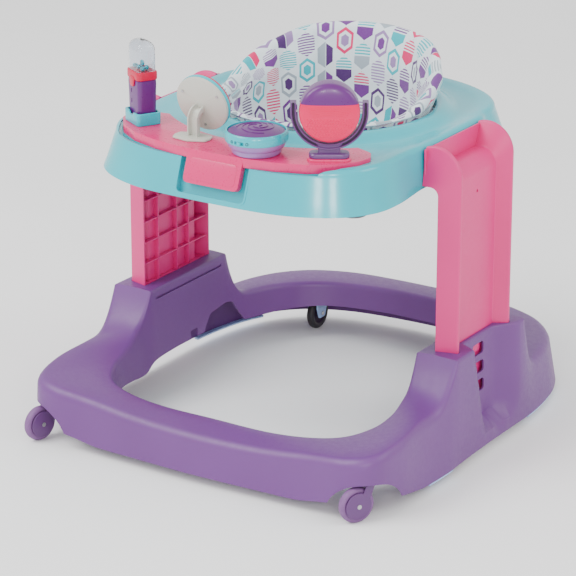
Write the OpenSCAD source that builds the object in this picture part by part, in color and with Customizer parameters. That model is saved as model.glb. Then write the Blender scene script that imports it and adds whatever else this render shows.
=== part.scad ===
// Baby walker: a ring-shaped rolling base, two sliding legs, a tray with a fabric seat, and a toy panel.
// Millimetres. +Z is up, -Y is the front where the toys are, and the origin is on the floor at the centre.

/* [Base] */
// Half the width of the base at its lower edge
base_half_w = 324; // [320:1:330]
// Height of the tops of the two towers that hold the legs
tower_top = 182; // [178:1:186]
// Wall thickness of the moulded shells
wall = 3; // [2.5:0.1:3.5]
// Depth of the concave scoop in each tower's outer face
scoop_depth = 27; // [24:1:28]

/* [Wheels] */
// Radius of all four wheels
wheel_r = 27.5; // [25:0.5:27.5]
// Width of a wheel
wheel_w = 13; // [11:0.5:14]
// Distance from the centre line to each caster's swivel axis
caster_x = 289; // [288:0.5:290]
// Distance from the swivel axis to the wheel's axle
caster_trail = 18; // [17:0.5:18]
// Swivel of the left caster
left_swivel = 75; // [0:5:360]
// Swivel of the right caster
right_swivel = 60; // [0:5:360]

/* [Legs] */
// Distance from the centre line to the outer face of a leg
leg_out_x = 300; // [299:0.5:301]
// Thickness of a leg, from its outer face to its open inner edge
leg_d = 33; // [32:0.5:34]
// Spacing of the height steps
height_step = 30; // [25:1:30]

/* [Tray and seat] */
// Height of the tray's lower rim
tray_rim_z = 434; // [433:1:436]
// Height of the tray's top edge
tray_top_z = 499; // [497:1:500]
// Radius of the seat opening
seat_r = 170; // [168:1:172]
// Height of the top of the seat's back
seat_back_z = 588; // [570:1:600]

/* [Toys] */
// Height of the toy panel's top face
panel_z = 504; // [503:0.5:506]
// Radius of the ball in the spinner
ball_r = 44; // [42:0.5:45]
// Radius of the mirror toy
mirror_r = 44; // [42:0.5:45]
// Radius of the drum's ring
drum_r = 47; // [45:0.5:48]

/* [Hidden] */
$fn = 64;

purple = [0.55, 0.44, 0.65];
pink = [0.89, 0.47, 0.63];
turquoise = [0.47, 0.80, 0.81];
panel_pink = [0.90, 0.43, 0.57];
toy_purple = [0.50, 0.24, 0.53];
toy_teal = [0.15, 0.76, 0.79];
toy_red = [0.88, 0.00, 0.31];
toy_grey = [0.74, 0.74, 0.71];
lavender = [0.69, 0.60, 0.75];
mauve = [0.56, 0.43, 0.62];
hot_pink = [1.00, 0.00, 0.38];
grip_blue = [0.72, 0.80, 0.90];
steel = [0.75, 0.76, 0.78];
fabric = [0.80, 0.87, 0.89];

// ---------- shared functions ----------

function clamp01(v) = max(0, min(1, v));
function mix(a, b, t) = a + (b - a) * t;
function smooth(v) = let (t = clamp01(v)) t * t * (3 - 2 * t);
function reversed(list) = [for (i = [len(list) - 1 : -1 : 0]) list[i]];

// A row holds an outer point x, y, an inner point x, y, and then sizes that don't mirror.
function mirrored_row(row) = [-row[0], row[1], -row[2], row[3], for (k = [4 : 1 : len(row) - 1]) row[k]];
// A closed left-right symmetric loop from its right half, front centre first and rear centre last.
function whole_loop(half) = concat(half, [for (i = [len(half) - 2 : -1 : 1]) mirrored_row(half[i])]);
// A smooth curve through the rows of a closed loop.
function spline_row(rows, u) =
  let (n = len(rows), i = floor(u), t = u - i,
       a = rows[(i + n - 1) % n], b = rows[i % n], c = rows[(i + 1) % n], d = rows[(i + 2) % n])
  0.5 * (2 * b + (c - a) * t + (2 * a - 5 * b + 4 * c - d) * t * t + (3 * b - a - 3 * c + d) * t * t * t);
function spline_loop(rows, steps) =
  [for (i = [0 : len(rows) * steps - 1]) spline_row(rows, i / steps)];

// Skin over closed sections placed one after another. A ring joins the last to the first.
// Open ends are closed between the first half of a section and its second half.
module skin_sections(sections, ring) {
  n = len(sections);
  m = len(sections[0]);
  last = ring ? n - 1 : n - 2;
  points = [for (section = sections) each section];
  sides = [for (i = [0 : last]) for (j = [0 : m - 1])
    let (a = i * m + j, b = i * m + (j + 1) % m,
         c = ((i + 1) % n) * m + (j + 1) % m, d = ((i + 1) % n) * m + j)
    each [[a, b, c], [a, c, d]]];
  end = (n - 1) * m;
  ends = ring ? [] : [for (j = [0 : m / 2 - 2])
    let (k = m - 1 - j)
    each [[j + 1, j, k], [j + 1, k, k - 1], [end + j, end + j + 1, end + k - 1], [end + j, end + k - 1, end + k]]];
  polyhedron(points, concat(sides, ends), convexity = 10);
}

// Plate with rounded corners, built from exact boxes and cylinders, lying on z = 0.
module rounded_plate(w, d, h, r) {
  translate([-w / 2 + r, -d / 2, 0]) cube([w - 2 * r, d, h]);
  translate([-w / 2, -d / 2 + r, 0]) cube([w, d - 2 * r, h]);
  for (x = [-1, 1]) for (y = [-1, 1])
    translate([x * (w / 2 - r), y * (d / 2 - r), 0]) cylinder(r = r, h = h);
}

// A copy of the children on the right side, or mirrored to the left.
module on_side(side) {
  if (side > 0) children();
  else mirror([1, 0, 0]) children();
}

// ---------- base ----------

base_z = 16;
rim_front = -113;
rim_rear = 101;
leg_y = -6;
opening_lean = 8;

// Rows: outer lower edge, inner lower edge, outer ridge height, inner ridge height,
// height of the inner wall's lower edge, inward lean of the outer wall
base_half = [
  [0, -363, 0, -285, 76, 84, 58, 12],
  [110, -360, 92, -285, 78, 84, 58, 12],
  [200, -357, 160, -278, 87, 88, 58, 9],
  [266, -358, 206, -256, 96, 92, 56, 5],
  [306, -338, 230, -216, 103, 97, 54, 3],
  [320, -285, 236, -180, 110, 103, 52, 5],
  [321, -225, 237, -156, 115, 106, 50, 9],
  [base_half_w, -150, 237, -136, 117, 108, 52, 10],
  [322, rim_front, 236, rim_front, 117, 110, 66, 7],
  [320, -60, 236, -60, 116, 110, 70, 6],
  [319, leg_y, 236, leg_y, 112, 108, 70, 6],
  [319, 48, 236, 48, 104, 104, 70, 6],
  [319, rim_rear, 236, rim_rear, 97, 101, 66, 7],
  [317, 140, 234, 130, 95, 100, 58, 10],
  [311, 185, 228, 168, 95, 99, 54, 12],
  [299, 235, 213, 206, 95, 98, 54, 12],
  [273, 288, 186, 241, 95, 97, 56, 12],
  [228, 333, 144, 268, 95, 97, 58, 12],
  [160, 362, 88, 283, 95, 97, 58, 12],
  [80, 374, 42, 289, 95, 97, 58, 12],
  [0, 377.5, 0, 290, 95, 97, 58, 12]
];
base_rows = whole_loop(base_half);

// How far the top has risen from the bar to the tower, from 0 to 1
function tower_rise(y) =
  let (front = clamp01((rim_front - y) / 85), rear = clamp01((y - rim_rear) / 68))
  pow(1 - max(front, rear), 2.8);
// Inward depth of the scoop at a place on the outer wall
function scoop(y, z) =
  scoop_depth * smooth(1 - (abs(y - leg_y) - 16) / 76) * smooth((z - 24) / 46);

// Height of the outer wall's lower edge, raised round the front corners
function base_bottom(x, y) = base_z + 12 * smooth((130 - norm([abs(x) - 300, y + 335])) / 90);

// The outer face of a section as [distance in from the outer edge, height, share of the scoop]
function base_profile(w, zl, zo, zi, zb, rise, lean) =
  let (r = mix(15, 5, rise), r_in = mix(9, 4, rise), top = w - opening_lean)
  [
    [0, zl, 1],
    [lean * 0.3, mix(zl, zo, 0.3), 1],
    [lean * 0.6, mix(zl, zo, 0.6), 1],
    [lean * 0.85, mix(zl, zo, 0.85) - 2, 1],
    [lean + r * 0.25, zo - r * 0.3, 1],
    [lean + r, zo, 1],
    [mix(lean + r, top - r_in, 0.5), (zo + zi) / 2 + 1, 0.55],
    [top - r_in, zi, 0],
    [top - r_in * 0.25, zi - r_in * 0.3, 0],
    [top, zi - r_in, 0],
    [top + opening_lean * 0.5, mix(zi, zb, 0.5), 0],
    [w, zb, 0]
  ];
// The same face moved inwards by the wall thickness, from its inner end back to its outer end
function base_inside(w, zl, zo, zi, zb, rise, lean) =
  let (p = base_profile(w, zl, zo, zi, zb, rise, lean))
  [
    [w - wall, zb, 0],
    [p[10][0] - wall, p[10][1], 0],
    [p[9][0] - wall, p[9][1] - wall * 0.6, 0],
    [p[7][0] - wall * 0.5, zi - wall, 0],
    [p[6][0], p[6][1] - wall, 0.55],
    [p[5][0] + wall * 0.4, zo - wall, 1],
    [p[4][0] + wall, p[4][1] - wall, 1],
    [p[3][0] + wall, p[3][1] - wall * 0.5, 1],
    [p[2][0] + wall, p[2][1], 1],
    [p[1][0] + wall, p[1][1], 1],
    [wall, zl, 1]
  ];
function base_section(row) =
  let (out = [row[0], row[1]], in = [row[2], row[3]], w = norm(in - out), dir = (in - out) / w,
       rise = tower_rise(row[1]), rise_in = tower_rise(row[3]),
       zo = mix(row[4], tower_top, rise), zi = mix(row[5], tower_top, rise_in),
       zl = base_bottom(row[0], row[1]),
       flat = concat(base_profile(w, zl, zo, zi, row[6], rise, row[7]),
                     base_inside(w, zl, zo, zi, row[6], rise, row[7])))
  [for (p = flat)
    let (xy = out + dir * p[0])
    [xy[0] - sign(out[0]) * p[2] * scoop(xy[1], p[1]), xy[1], p[1]]];

// Outline of a leg seen from above, grown by a gap
function leg_outline(gap) =
  let (inner = leg_out_x - leg_d, floor_x = leg_out_x - 20)
  [
    [inner - gap, leg_y - 92 - gap], [leg_out_x + gap, leg_y - 82 - gap],
    [leg_out_x + gap, leg_y - 76 + gap], [floor_x + gap, leg_y - 62 + gap],
    [floor_x + gap, leg_y + 62 - gap], [leg_out_x + gap, leg_y + 76 - gap],
    [leg_out_x + gap, leg_y + 82 + gap], [inner - gap, leg_y + 92 + gap]
  ];

window_z = 158;
window_w = 34;
window_h = 19;
caster_y = -329.5;
caster_well_r = 64;

module tower_windows() {
  for (i = [0 : 2])
    translate([270, leg_y + 6, window_z - i * height_step])
      rotate([0, 90, 0]) rounded_plate(window_h, window_w, 34, 4);
}

module base_shell() {
  color(purple) difference() {
    skin_sections([for (row = spline_loop(base_rows, 2)) base_section(row)], true);
    for (side = [-1, 1]) on_side(side) {
      translate([0, 0, tower_top - 20]) linear_extrude(40) polygon(leg_outline(0.8));
      tower_windows();
      translate([caster_x, caster_y, -1]) sphere(r = caster_well_r, $fn = 48);
      translate([caster_x, caster_y, 40]) cylinder(r = 8.9, h = 52);
      translate([rear_wheel_x, rear_wheel_y, 40]) cylinder(r = 4.4, h = 70);
    }
  }
}

// Soft strips under the lower edge of the outer wall
strip_z = 12;
function strip_point(u, inset, z) =
  let (row = spline_row(base_rows, u), out = [row[0], row[1]], in = [row[2], row[3]],
       dir = (in - out) / norm(in - out), xy = out + dir * inset)
  [xy[0], xy[1], z];
module grip_strip(u_start, u_end) {
  steps = 8;
  skin_sections([for (i = [0 : steps])
    let (u = mix(u_end, u_start, i / steps))
    [strip_point(u, 0.5, base_z - 0.2), strip_point(u, 2, strip_z),
     strip_point(u, 9, strip_z), strip_point(u, 11, base_z - 0.2)]], false);
}
module grip_strips() {
  n = len(base_rows);
  color(grip_blue) {
    for (span = [[6.3, 7.4], [12.3, 15.6]]) {
      grip_strip(span[0], span[1]);
      grip_strip(n - span[1], n - span[0]);
    }
  }
}

// ---------- wheels ----------

caster_stem_r = 5;
axle_r = 2;
rear_wheel_x = 190;
rear_wheel_y = 300;
running_gap = 0.05;

module caster_socket(side) {
  color(purple) on_side(side) translate([caster_x, caster_y, 0]) difference() {
    union() {
      translate([0, 0, 60]) cylinder(r = 8.5, h = 24);
      translate([0, 0, 84]) cylinder(r1 = 8.5, r2 = 6, h = 5);
    }
    translate([0, 0, 50]) cylinder(r = caster_stem_r + running_gap, h = 34);
  }
}
module caster_socket_left() { caster_socket(-1); }
module caster_socket_right() { caster_socket(1); }

// Places its children at a front caster, with the wheel behind the swivel axis on local -X
module at_caster(side) {
  translate([side * caster_x, caster_y, 0])
    rotate([0, 0, side > 0 ? right_swivel : left_swivel]) children();
}
// A cylinder on the front axle's line, centred on the wheel
module on_front_axle(r, w, offset) {
  translate([-caster_trail, offset, wheel_r]) rotate([90, 0, 0]) cylinder(r = r, h = w, center = true);
}
cheek_y = wheel_w / 2 + 2;
module caster_fork(side) {
  color(purple) at_caster(side) difference() {
    union() {
      cylinder_z(caster_stem_r, 56, 83);
      translate([-5, -cheek_y - 1.25, 55.5]) cube([14, 2 * cheek_y + 2.5, 3.5]);
      for (s = [-1, 1]) {
        on_front_axle(21, 2.5, s * cheek_y);
        translate([-5, s * cheek_y - 1.25, 28]) cube([12, 2.5, 29]);
      }
    }
    on_front_axle(axle_r, 40, 0);
  }
}
module cylinder_z(r, z0, z1) {
  translate([0, 0, z0]) cylinder(r = r, h = z1 - z0);
}
module caster_fork_left() { caster_fork(-1); }
module caster_fork_right() { caster_fork(1); }

// Wheel with a crowned tyre and recessed sides, axis along Z, centred on the origin
module wheel() {
  half = wheel_w / 2;
  rotate_extrude() polygon([
    [axle_r + running_gap, -half], [7, -half], [7, -half + 2.5], [wheel_r - 6, -half + 2.5],
    [wheel_r - 4.5, -half], [wheel_r - 1.5, -half + 0.6], [wheel_r, -half + 3],
    [wheel_r, half - 3], [wheel_r - 1.5, half - 0.6], [wheel_r - 4.5, half],
    [wheel_r - 6, half - 2.5], [7, half - 2.5], [7, half], [axle_r + running_gap, half]
  ]);
}
module front_wheel(side) {
  color(mauve) at_caster(side) translate([-caster_trail, 0, wheel_r]) rotate([90, 0, 0]) wheel();
}
module front_wheel_left() { front_wheel(-1); }
module front_wheel_right() { front_wheel(1); }

module front_axle(side) {
  color(steel) at_caster(side) {
    on_front_axle(axle_r, 2 * cheek_y + 2.5, 0);
    for (s = [-1, 1]) on_front_axle(3.5, 1.5, s * (cheek_y + 2));
  }
}
module front_axle_left() { front_axle(-1); }
module front_axle_right() { front_axle(1); }

module at_rear_wheel(side) {
  translate([side * rear_wheel_x, rear_wheel_y, wheel_r]) rotate([0, 90, 0]) children();
}
module rear_bracket(side) {
  color(grip_blue) difference() {
    translate([side * rear_wheel_x, rear_wheel_y, 0]) {
      for (s = [-1, 1]) translate([s * cheek_y - 1.25, -14, 20]) cube([2.5, 28, 46]);
      translate([-cheek_y - 1.25, -14, 60]) cube([2 * cheek_y + 2.5, 28, 6]);
      cylinder_z(4, 66, 98);
    }
    at_rear_wheel(side) cylinder(r = axle_r, h = 60, center = true);
  }
}
module rear_bracket_left() { rear_bracket(-1); }
module rear_bracket_right() { rear_bracket(1); }
module rear_wheel(side) { color([0.16, 0.15, 0.17]) at_rear_wheel(side) wheel(); }
module rear_wheel_left() { rear_wheel(-1); }
module rear_wheel_right() { rear_wheel(1); }
module rear_axle(side) {
  color(steel) at_rear_wheel(side) {
    cylinder(r = axle_r, h = 2 * cheek_y + 2.5, center = true);
    for (s = [-1, 1]) translate([0, 0, s * (cheek_y + 2)]) cylinder(r = 3.5, h = 1.5, center = true);
  }
}
module rear_axle_left() { rear_axle(-1); }
module rear_axle_right() { rear_axle(1); }

// ---------- legs ----------

leg_bottom = 74;
tray_side_x = 240.4;
arch_out = [255.4, 455];
arch_out_r = leg_out_x - arch_out[0];
arch_in = [leg_out_x - leg_d - 13, 426];
arch_in_r = 13;

// Outer and inner points of the leg's side view, from 0 at the arch's start to 1 at the tray
function arch_outer(t) = arch_out + arch_out_r * [cos(109.5 * t), sin(109.5 * t)];
function arch_inner(t) =
  t < 0.7 ? arch_in + arch_in_r * [cos(90 * t / 0.7), sin(90 * t / 0.7)]
  : mix([arch_in[0], arch_in[1] + arch_in_r], [tray_side_x, arch_in[1] + arch_in_r], (t - 0.7) / 0.3);
leg_sides = concat(
  [[[leg_out_x, leg_bottom], [leg_out_x - leg_d, leg_bottom]],
   [[leg_out_x, 250], [leg_out_x - leg_d, 250]]],
  [for (i = [0 : 8]) [arch_outer(i / 8), arch_inner(i / 8)]]);
// Wall of the leg as [depth in from the outer face, y], round the outside and back along the inside
leg_wall = [
  [leg_d, -92], [0, -82], [0, -76], [20, -62], [20, 62], [0, 76], [0, 82], [leg_d, 92],
  [leg_d, 92 - wall], [wall, 80.2], [wall, 77.8], [20 + wall, 64.5],
  [20 + wall, -64.5], [wall, -77.8], [wall, -80.2], [leg_d, -92 + wall]
];
module leg(side) {
  inner = leg_out_x - leg_d;
  color(pink) on_side(side) difference() {
    union() {
      skin_sections([for (s = reversed(leg_sides)) [for (p = leg_wall)
        let (xz = mix(s[0], s[1], p[0] / leg_d)) [xz[0], leg_y + p[1], xz[1]]]], false);
      translate([tray_side_x + 0.5, leg_y - 89.5, 441]) cube([3, 179, 54]);
      for (y = [-54, -2, 31])
        translate([inner + 2, y - 1.25, leg_bottom + 2]) cube([8.5, 2.5, 352]);
      for (z = [110, 145, 180, 215, 250])
        translate([inner + 2.2, leg_y - 88.7, z]) cube([8.2, 177.4, 2.5]);
      translate([inner + 2.2, leg_y - 88.7, 285]) cube([8.2, 101, 2.5]);
    }
    translate([inner - 1, leg_y - 14, window_z - 16]) cube([11, 40, 33]);
    translate([leg_out_x - 40, leg_y + 6, window_z])
      rotate([0, 90, 0]) rounded_plate(14.6, 28.6, 60, 3);
    translate([leg_out_x - 40, leg_y + 5, 412]) rotate([0, 90, 0]) cylinder(r = 2.5, h = 60);
    for (y = [-72, 72]) translate([tray_side_x - 5, leg_y + y, 455])
      rotate([0, 90, 0]) cylinder(r = 2.3, h = 12);
  }
}
module leg_left() { leg(-1); }
module leg_right() { leg(1); }

// Sprung catch in a leg. Its face stops just short of the tower's wall.
module height_button(side) {
  color(pink) on_side(side) translate([0, leg_y + 6, window_z]) {
    translate([273, 0, 0]) rotate([0, 90, 0]) rounded_plate(14, 28, 9, 4);
    translate([274.9, 0, 0]) rotate([0, 90, 0]) rounded_plate(20, 32, 2, 3);
  }
}
module height_button_left() { height_button(-1); }
module height_button_right() { height_button(1); }

module leg_screws() {
  color(steel) for (side = [-1, 1]) on_side(side) for (y = [-72, 72])
    translate([0, leg_y + y, 455]) rotate([0, 90, 0]) {
      translate([0, 0, tray_side_x - 9]) cylinder(r = 2, h = 13);
      translate([0, 0, tray_side_x + 3.6]) cylinder(r = 4, h = 2.2);
    }
}

// ---------- tray ----------

seat_c = [0, 17];
// Rows: lower rim x, y, opening x, y (filled in below), lean of the skirt from 0 to 1
tray_rim = [
  [0, -322, 1], [60, -321, 1], [110, -317, 1], [156, -305, 1], [197, -284, 1], [227, -255, 1],
  [244, -218, 1], [247, -172, 0.9], [243, -130, 0.5], [240, -101, 0.08], [240, -45, 0], [240, 10, 0],
  [240, 89, 0.08], [245, 118, 0.8], [240, 160, 1], [219, 200, 1], [180, 235, 1], [125, 261, 1],
  [62, 275, 1], [0, 279, 1]
];
function toward_seat(p) = let (d = p - seat_c) seat_c + seat_r * d / norm(d);
tray_rows = whole_loop([for (p = tray_rim)
  let (in = toward_seat([p[0], p[1]])) [p[0], p[1], in[0], in[1], p[2]]]);

function tray_profile(w, lean) =
  let (k = mix(0.06, 1, lean))
  [
    [0, tray_rim_z], [9 * k, 457], [17 * k, 480], [21 * k, tray_top_z - 8],
    [21 * k + 5, tray_top_z - 1.5], [21 * k + 11, tray_top_z],
    [mix(21 * k + 11, w - 38, 0.5), tray_top_z - 3.5],
    [w - 34, tray_top_z - 5], [w - 20, tray_top_z + 3], [w - 10, tray_top_z + 8],
    [w - 3, tray_top_z + 7], [w, tray_top_z + 2], [w, tray_top_z - 14]
  ];
function tray_inside(w, lean) =
  let (p = tray_profile(w, lean))
  [
    [w - wall, p[12][1]], [w - wall, p[11][1] - 1], [p[10][0] - 1, p[10][1] - wall],
    [p[9][0], p[9][1] - wall], [p[8][0], p[8][1] - wall], [p[7][0], p[7][1] - wall],
    [p[6][0], p[6][1] - wall], [p[5][0], p[5][1] - wall], [p[4][0] + 1.5, p[4][1] - wall],
    [p[3][0] + wall, p[3][1] - 1.5], [p[2][0] + wall, p[2][1]], [p[1][0] + wall, p[1][1]],
    [wall, tray_rim_z]
  ];
function tray_section(row) =
  let (out = [row[0], row[1]], in = toward_seat(out), w = norm(in - out), dir = (in - out) / w)
  [for (p = concat(tray_profile(w, row[4]), tray_inside(w, row[4])))
    let (xy = out + dir * p[0]) [xy[0], xy[1], p[1]]];

tab_x = 8;
skirt_tilt = 20.2;
// Places its children on the front of the skirt: local +Z runs up the slope, local -Y points out
module on_skirt() {
  translate([tab_x, -322, tray_rim_z]) rotate([-skirt_tilt, 0, 0]) children();
}
module tray() {
  color(turquoise) difference() {
    union() {
      skin_sections([for (row = spline_loop(tray_rows, 2)) tray_section(row)], true);
      difference() {
        on_skirt() translate([-62, 1, 5]) cube([124, 14, 72]);
        translate([-100, -330, tray_top_z - 1.2]) cube([200, 60, 30]);
      }
    }
    on_skirt() translate([-59, -6, 8]) cube([118, 18, 90]);
  }
}

// ---------- seat ----------

// Height of the seat pad's top edge round the opening, by angle from the right-hand side
function pad_top(a) =
  lookup(sin(a), [[-1, 515], [-0.2, 513], [0, 516], [0.26, 537], [0.5, 562],
                  [0.71, 577], [0.87, 585], [1, seat_back_z]]);
pad_r = seat_r - 4;
pad_top_r = seat_r + 9;
module seat_pad() {
  steps = 48;
  color(fabric) difference() {
    skin_sections([for (i = [0 : steps - 1])
      let (a = 360 * i / steps, top = pad_top(a))
      [for (p = [
         [pad_r, 486], [pad_r, 507], [mix(pad_r, pad_top_r, 0.6), max(508.5, top - 24)],
         [pad_top_r - 1, max(509, top - 11)], [pad_top_r, max(511, top - 5)], [pad_top_r - 6, top],
         [pad_top_r - 13, top - 3], [pad_r - 9, top - 14], [pad_r - 15, min(top - 20, 494)],
         [pad_r - 22, 440], [112, 366], [60, 352], [0.5, 350],
         [0.5, 345], [63, 347], [116, 361], [pad_r - 17, 437]])
        [seat_c[0] + p[0] * cos(a), seat_c[1] + p[0] * sin(a), p[1]]]], true);
    for (side = [-1, 1])
      translate([side * 72, seat_c[1] - 78, 300]) rounded_hole();
  }
}
module rounded_hole() {
  linear_extrude(110) union() {
    circle(r = 46);
  }
}
module seat_hoop() {
  color([0.80, 0.80, 0.80]) difference() {
    translate([seat_c[0], seat_c[1], 470]) cylinder(r = seat_r - 0.3, h = 14);
    translate([seat_c[0], seat_c[1], 460]) cylinder(r = pad_r - 0.5, h = 40);
  }
}
module seat_bottom() {
  color([0.55, 0.56, 0.58]) translate([seat_c[0], seat_c[1] + 20, 330]) rounded_plate(150, 90, 6, 20);
}

// ---------- toy panel ----------

panel_rear_r = 248;
panel_front = [[0, -301], [60, -299], [105, -292], [150, -276], [184, -251], [205, -222], [210, -196]];
module panel_outline() {
  front = [for (p = panel_front) p];
  left = [for (i = [len(front) - 1 : -1 : 1]) [-front[i][0], front[i][1]]];
  arc = [for (a = [-47 : -4.3 : -133]) seat_c + panel_rear_r * [cos(a), sin(a)]];
  polygon(concat(left, front, [[198, -176]], arc, [[-198, -176]]));
}
module toy_panel() {
  color(panel_pink) {
    difference() {
      translate([0, 0, tray_top_z + 0.3]) linear_extrude(panel_z - tray_top_z - 0.3) panel_outline();
      for (p = toy_places) translate([p[0], p[1], 480]) cylinder(r = 2.2, h = 40);
    }
    on_skirt() translate([-49, -1, 23.5]) cube([96, 10, 50]);
  }
}

tube_p = [-173, -226];
foot_p = [-62, -256];
drum_p = [55, -262];
yoke_p = [163, -235];
toy_places = [tube_p, foot_p, drum_p, yoke_p];
module toy_screws() {
  color(steel) for (p = toy_places) translate([p[0], p[1], 0]) {
    translate([0, 0, panel_z - 4]) cylinder(r = 1.9, h = 6);
  }
}

// ---------- bead tube ----------

tube_turn = -30;
module at_tube(z) { translate([tube_p[0], tube_p[1], z]) rotate([0, 0, tube_turn]) children(); }
module tube_socket() {
  color(toy_teal) at_tube(0) difference() {
    translate([0, 0, panel_z + 0.1]) rounded_plate(50, 40, 19, 6);
    translate([0, 0, panel_z + 6]) rounded_plate(43, 33, 30, 5);
    translate([0, 0, panel_z + 14]) rotate([90, 0, 0]) cylinder(r = 1.5, h = 50, center = true);
  }
}
module tube_body() {
  color(toy_purple) at_tube(0) difference() {
    translate([0, 0, panel_z + 9]) rounded_plate(40, 30, 60, 7);
    translate([0, 0, panel_z + 11.5]) rounded_plate(35, 25, 52.5, 5);
    translate([0, 0, panel_z + 14]) rotate([90, 0, 0])
      cylinder(r = 1.5 + running_gap, h = 50, center = true);
  }
}
module tube_collar() {
  color(toy_red) at_tube(0) difference() {
    translate([0, 0, panel_z + 69.1]) rounded_plate(44, 34, 13, 8);
    translate([0, 0, panel_z + 72]) rounded_plate(38, 28, 20, 6);
  }
}
module tube_dome() {
  color([0.85, 0.88, 0.92, 0.4]) at_tube(0) difference() {
    dome_solid(40, 30, 46, 7);
    translate([0, 0, -0.01]) dome_solid(36, 26, 44, 6);
  }
}
module dome_solid(w, d, h, r) {
  translate([0, 0, panel_z + 82.2]) hull() {
    rounded_plate(w, d, h - 12, r);
    translate([0, 0, h - 4]) rounded_plate(w - 14, d - 10, 4, r - 3);
  }
}
module tube_beads() {
  color(toy_teal) at_tube(panel_z + 82.4) {
    for (p = [[-10, 4], [-2, -5], [7, 4], [12, -5], [-12, -6]])
      translate([p[0], p[1], 3.6]) sphere(r = 3.5);
    for (p = [[4, -1], [-5, 2]]) translate([p[0], p[1], 9.6]) sphere(r = 3);
  }
}
module tube_pivot_pin() {
  color(steel) at_tube(panel_z + 14) rotate([90, 0, 0]) cylinder(r = 1.5, h = 38, center = true);
}

// ---------- mirror toy ----------

mirror_c = [-53, -238, 557];
mirror_turn = 0;
mirror_tilt = 16.3;
// Local +Z is the mirror's own axis, towards the child
module at_mirror() {
  translate(mirror_c) rotate([0, 0, mirror_turn]) rotate([-90 + mirror_tilt, 0, 0]) children();
}
module mirror_stalk() {
  color(toy_grey) {
    translate([foot_p[0], foot_p[1], panel_z + 0.1]) rotate([0, 0, 20]) rounded_plate(54, 30, 4, 10);
    translate([foot_p[0] - 6, foot_p[1] - 5, panel_z + 4]) cube([13, 9, 30]);
    hull() {
      translate([foot_p[0] - 6, foot_p[1] - 5, panel_z + 30]) cube([13, 9, 8]);
      at_mirror() translate([-6, -6, -9]) cube([13, 12, 1.8]);
    }
  }
}
module mirror_back() { color(toy_grey) at_mirror() translate([0, 0, -7]) cylinder(r = mirror_r, h = 5); }
module mirror_rim() {
  color(toy_teal) at_mirror() difference() {
    translate([0, 0, -1.9]) cylinder(r = mirror_r + 0.5, h = 6);
    translate([0, 0, 1]) cylinder(r = mirror_r - 6, h = 10);
  }
}
module mirror_ring() {
  color(toy_red) at_mirror() translate([0, 0, 4.3]) difference() {
    cylinder(r = mirror_r - 1.5, h = 5);
    translate([0, 0, -1]) cylinder(r = mirror_r - 12, h = 10);
  }
}
module mirror_glass() { color([0.8, 0.85, 0.88]) at_mirror() translate([0, 0, 1.1]) cylinder(r = 31.5, h = 4); }
module mirror_screws() {
  color(steel) at_mirror() for (a = [90, 210, 330]) rotate([0, 0, a])
    translate([mirror_r - 9, 0, -8]) cylinder(r = 2.2, h = 0.9);
}

// ---------- drum ----------

module at_drum(z) { translate([drum_p[0], drum_p[1], panel_z + z]) children(); }
module drum_base() {
  color(lavender) at_drum(0.1) difference() {
    union() {
      cylinder(r = 36, h = 8);
      translate([0, 0, 8]) cylinder(r1 = 39, r2 = 44, h = 11);
    }
    translate([0, 0, 3]) cylinder(r = 33, h = 30);
  }
  color(lavender) at_drum(3) for (x = [-17, 17]) for (y = [-16, 16])
    translate([x, y, 0]) cylinder(r = 2.4, h = 9);
}
module drum_ring() {
  color(toy_teal) at_drum(19.2) difference() {
    cylinder(r = drum_r, h = 16);
    translate([0, 0, -1]) cylinder(r = drum_r - 6, h = 12);
    translate([0, 0, 3]) cylinder(r = drum_r - 4, h = 20);
    translate([-8, -drum_r - 1, 3]) cube([16, 8, 5]);
  }
}
module drum_top() {
  color(toy_purple) at_drum(26) intersection() {
    cylinder(r = drum_r - 4.3, h = 20);
    translate([0, 0, 16 - 90]) sphere(r = 90, $fn = 96);
  }
}
module drum_switch() {
  color(toy_teal) at_drum(22.6) translate([-3, -drum_r - 2, 0]) cube([6, 5, 4.2]);
}
module drum_circuit_board() { color([0.1, 0.45, 0.2]) at_drum(12) rounded_plate(44, 40, 1.6, 4); }
module drum_batteries() {
  color(steel) at_drum(3.4) for (x = [-18, -6, 6]) translate([x + 1, 0, 0]) cylinder(r = 5.8, h = 5.4);
}
module drum_speaker() {
  color([0.2, 0.2, 0.2]) at_drum(3.4) translate([22, 0, 0]) cylinder(r = 8.5, h = 5);
}

// ---------- spinner ----------

yoke_turn = 32.6;
ball_z = 577;
module at_yoke(z) { translate([yoke_p[0], yoke_p[1], z]) rotate([0, 0, yoke_turn]) children(); }
yoke_out = 56.5;
yoke_in = 47.5;
module spinner_yoke() {
  color(mauve) {
    at_yoke(0) {
      translate([0, 0, panel_z + 0.1]) rounded_plate(56, 26, 6, 9);
      translate([-15, -8, panel_z + 5]) cube([30, 16, ball_z - yoke_out - panel_z + 1]);
    }
    at_yoke(ball_z) difference() {
      rotate([90, 0, 0]) cylinder(r = yoke_out, h = 18, center = true);
      rotate([90, 0, 0]) cylinder(r = yoke_in, h = 30, center = true);
      translate([-80, -20, 8]) cube([160, 40, 80]);
      rotate([0, 90, 0]) cylinder(r = 2, h = 160, center = true);
    }
  }
}
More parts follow.
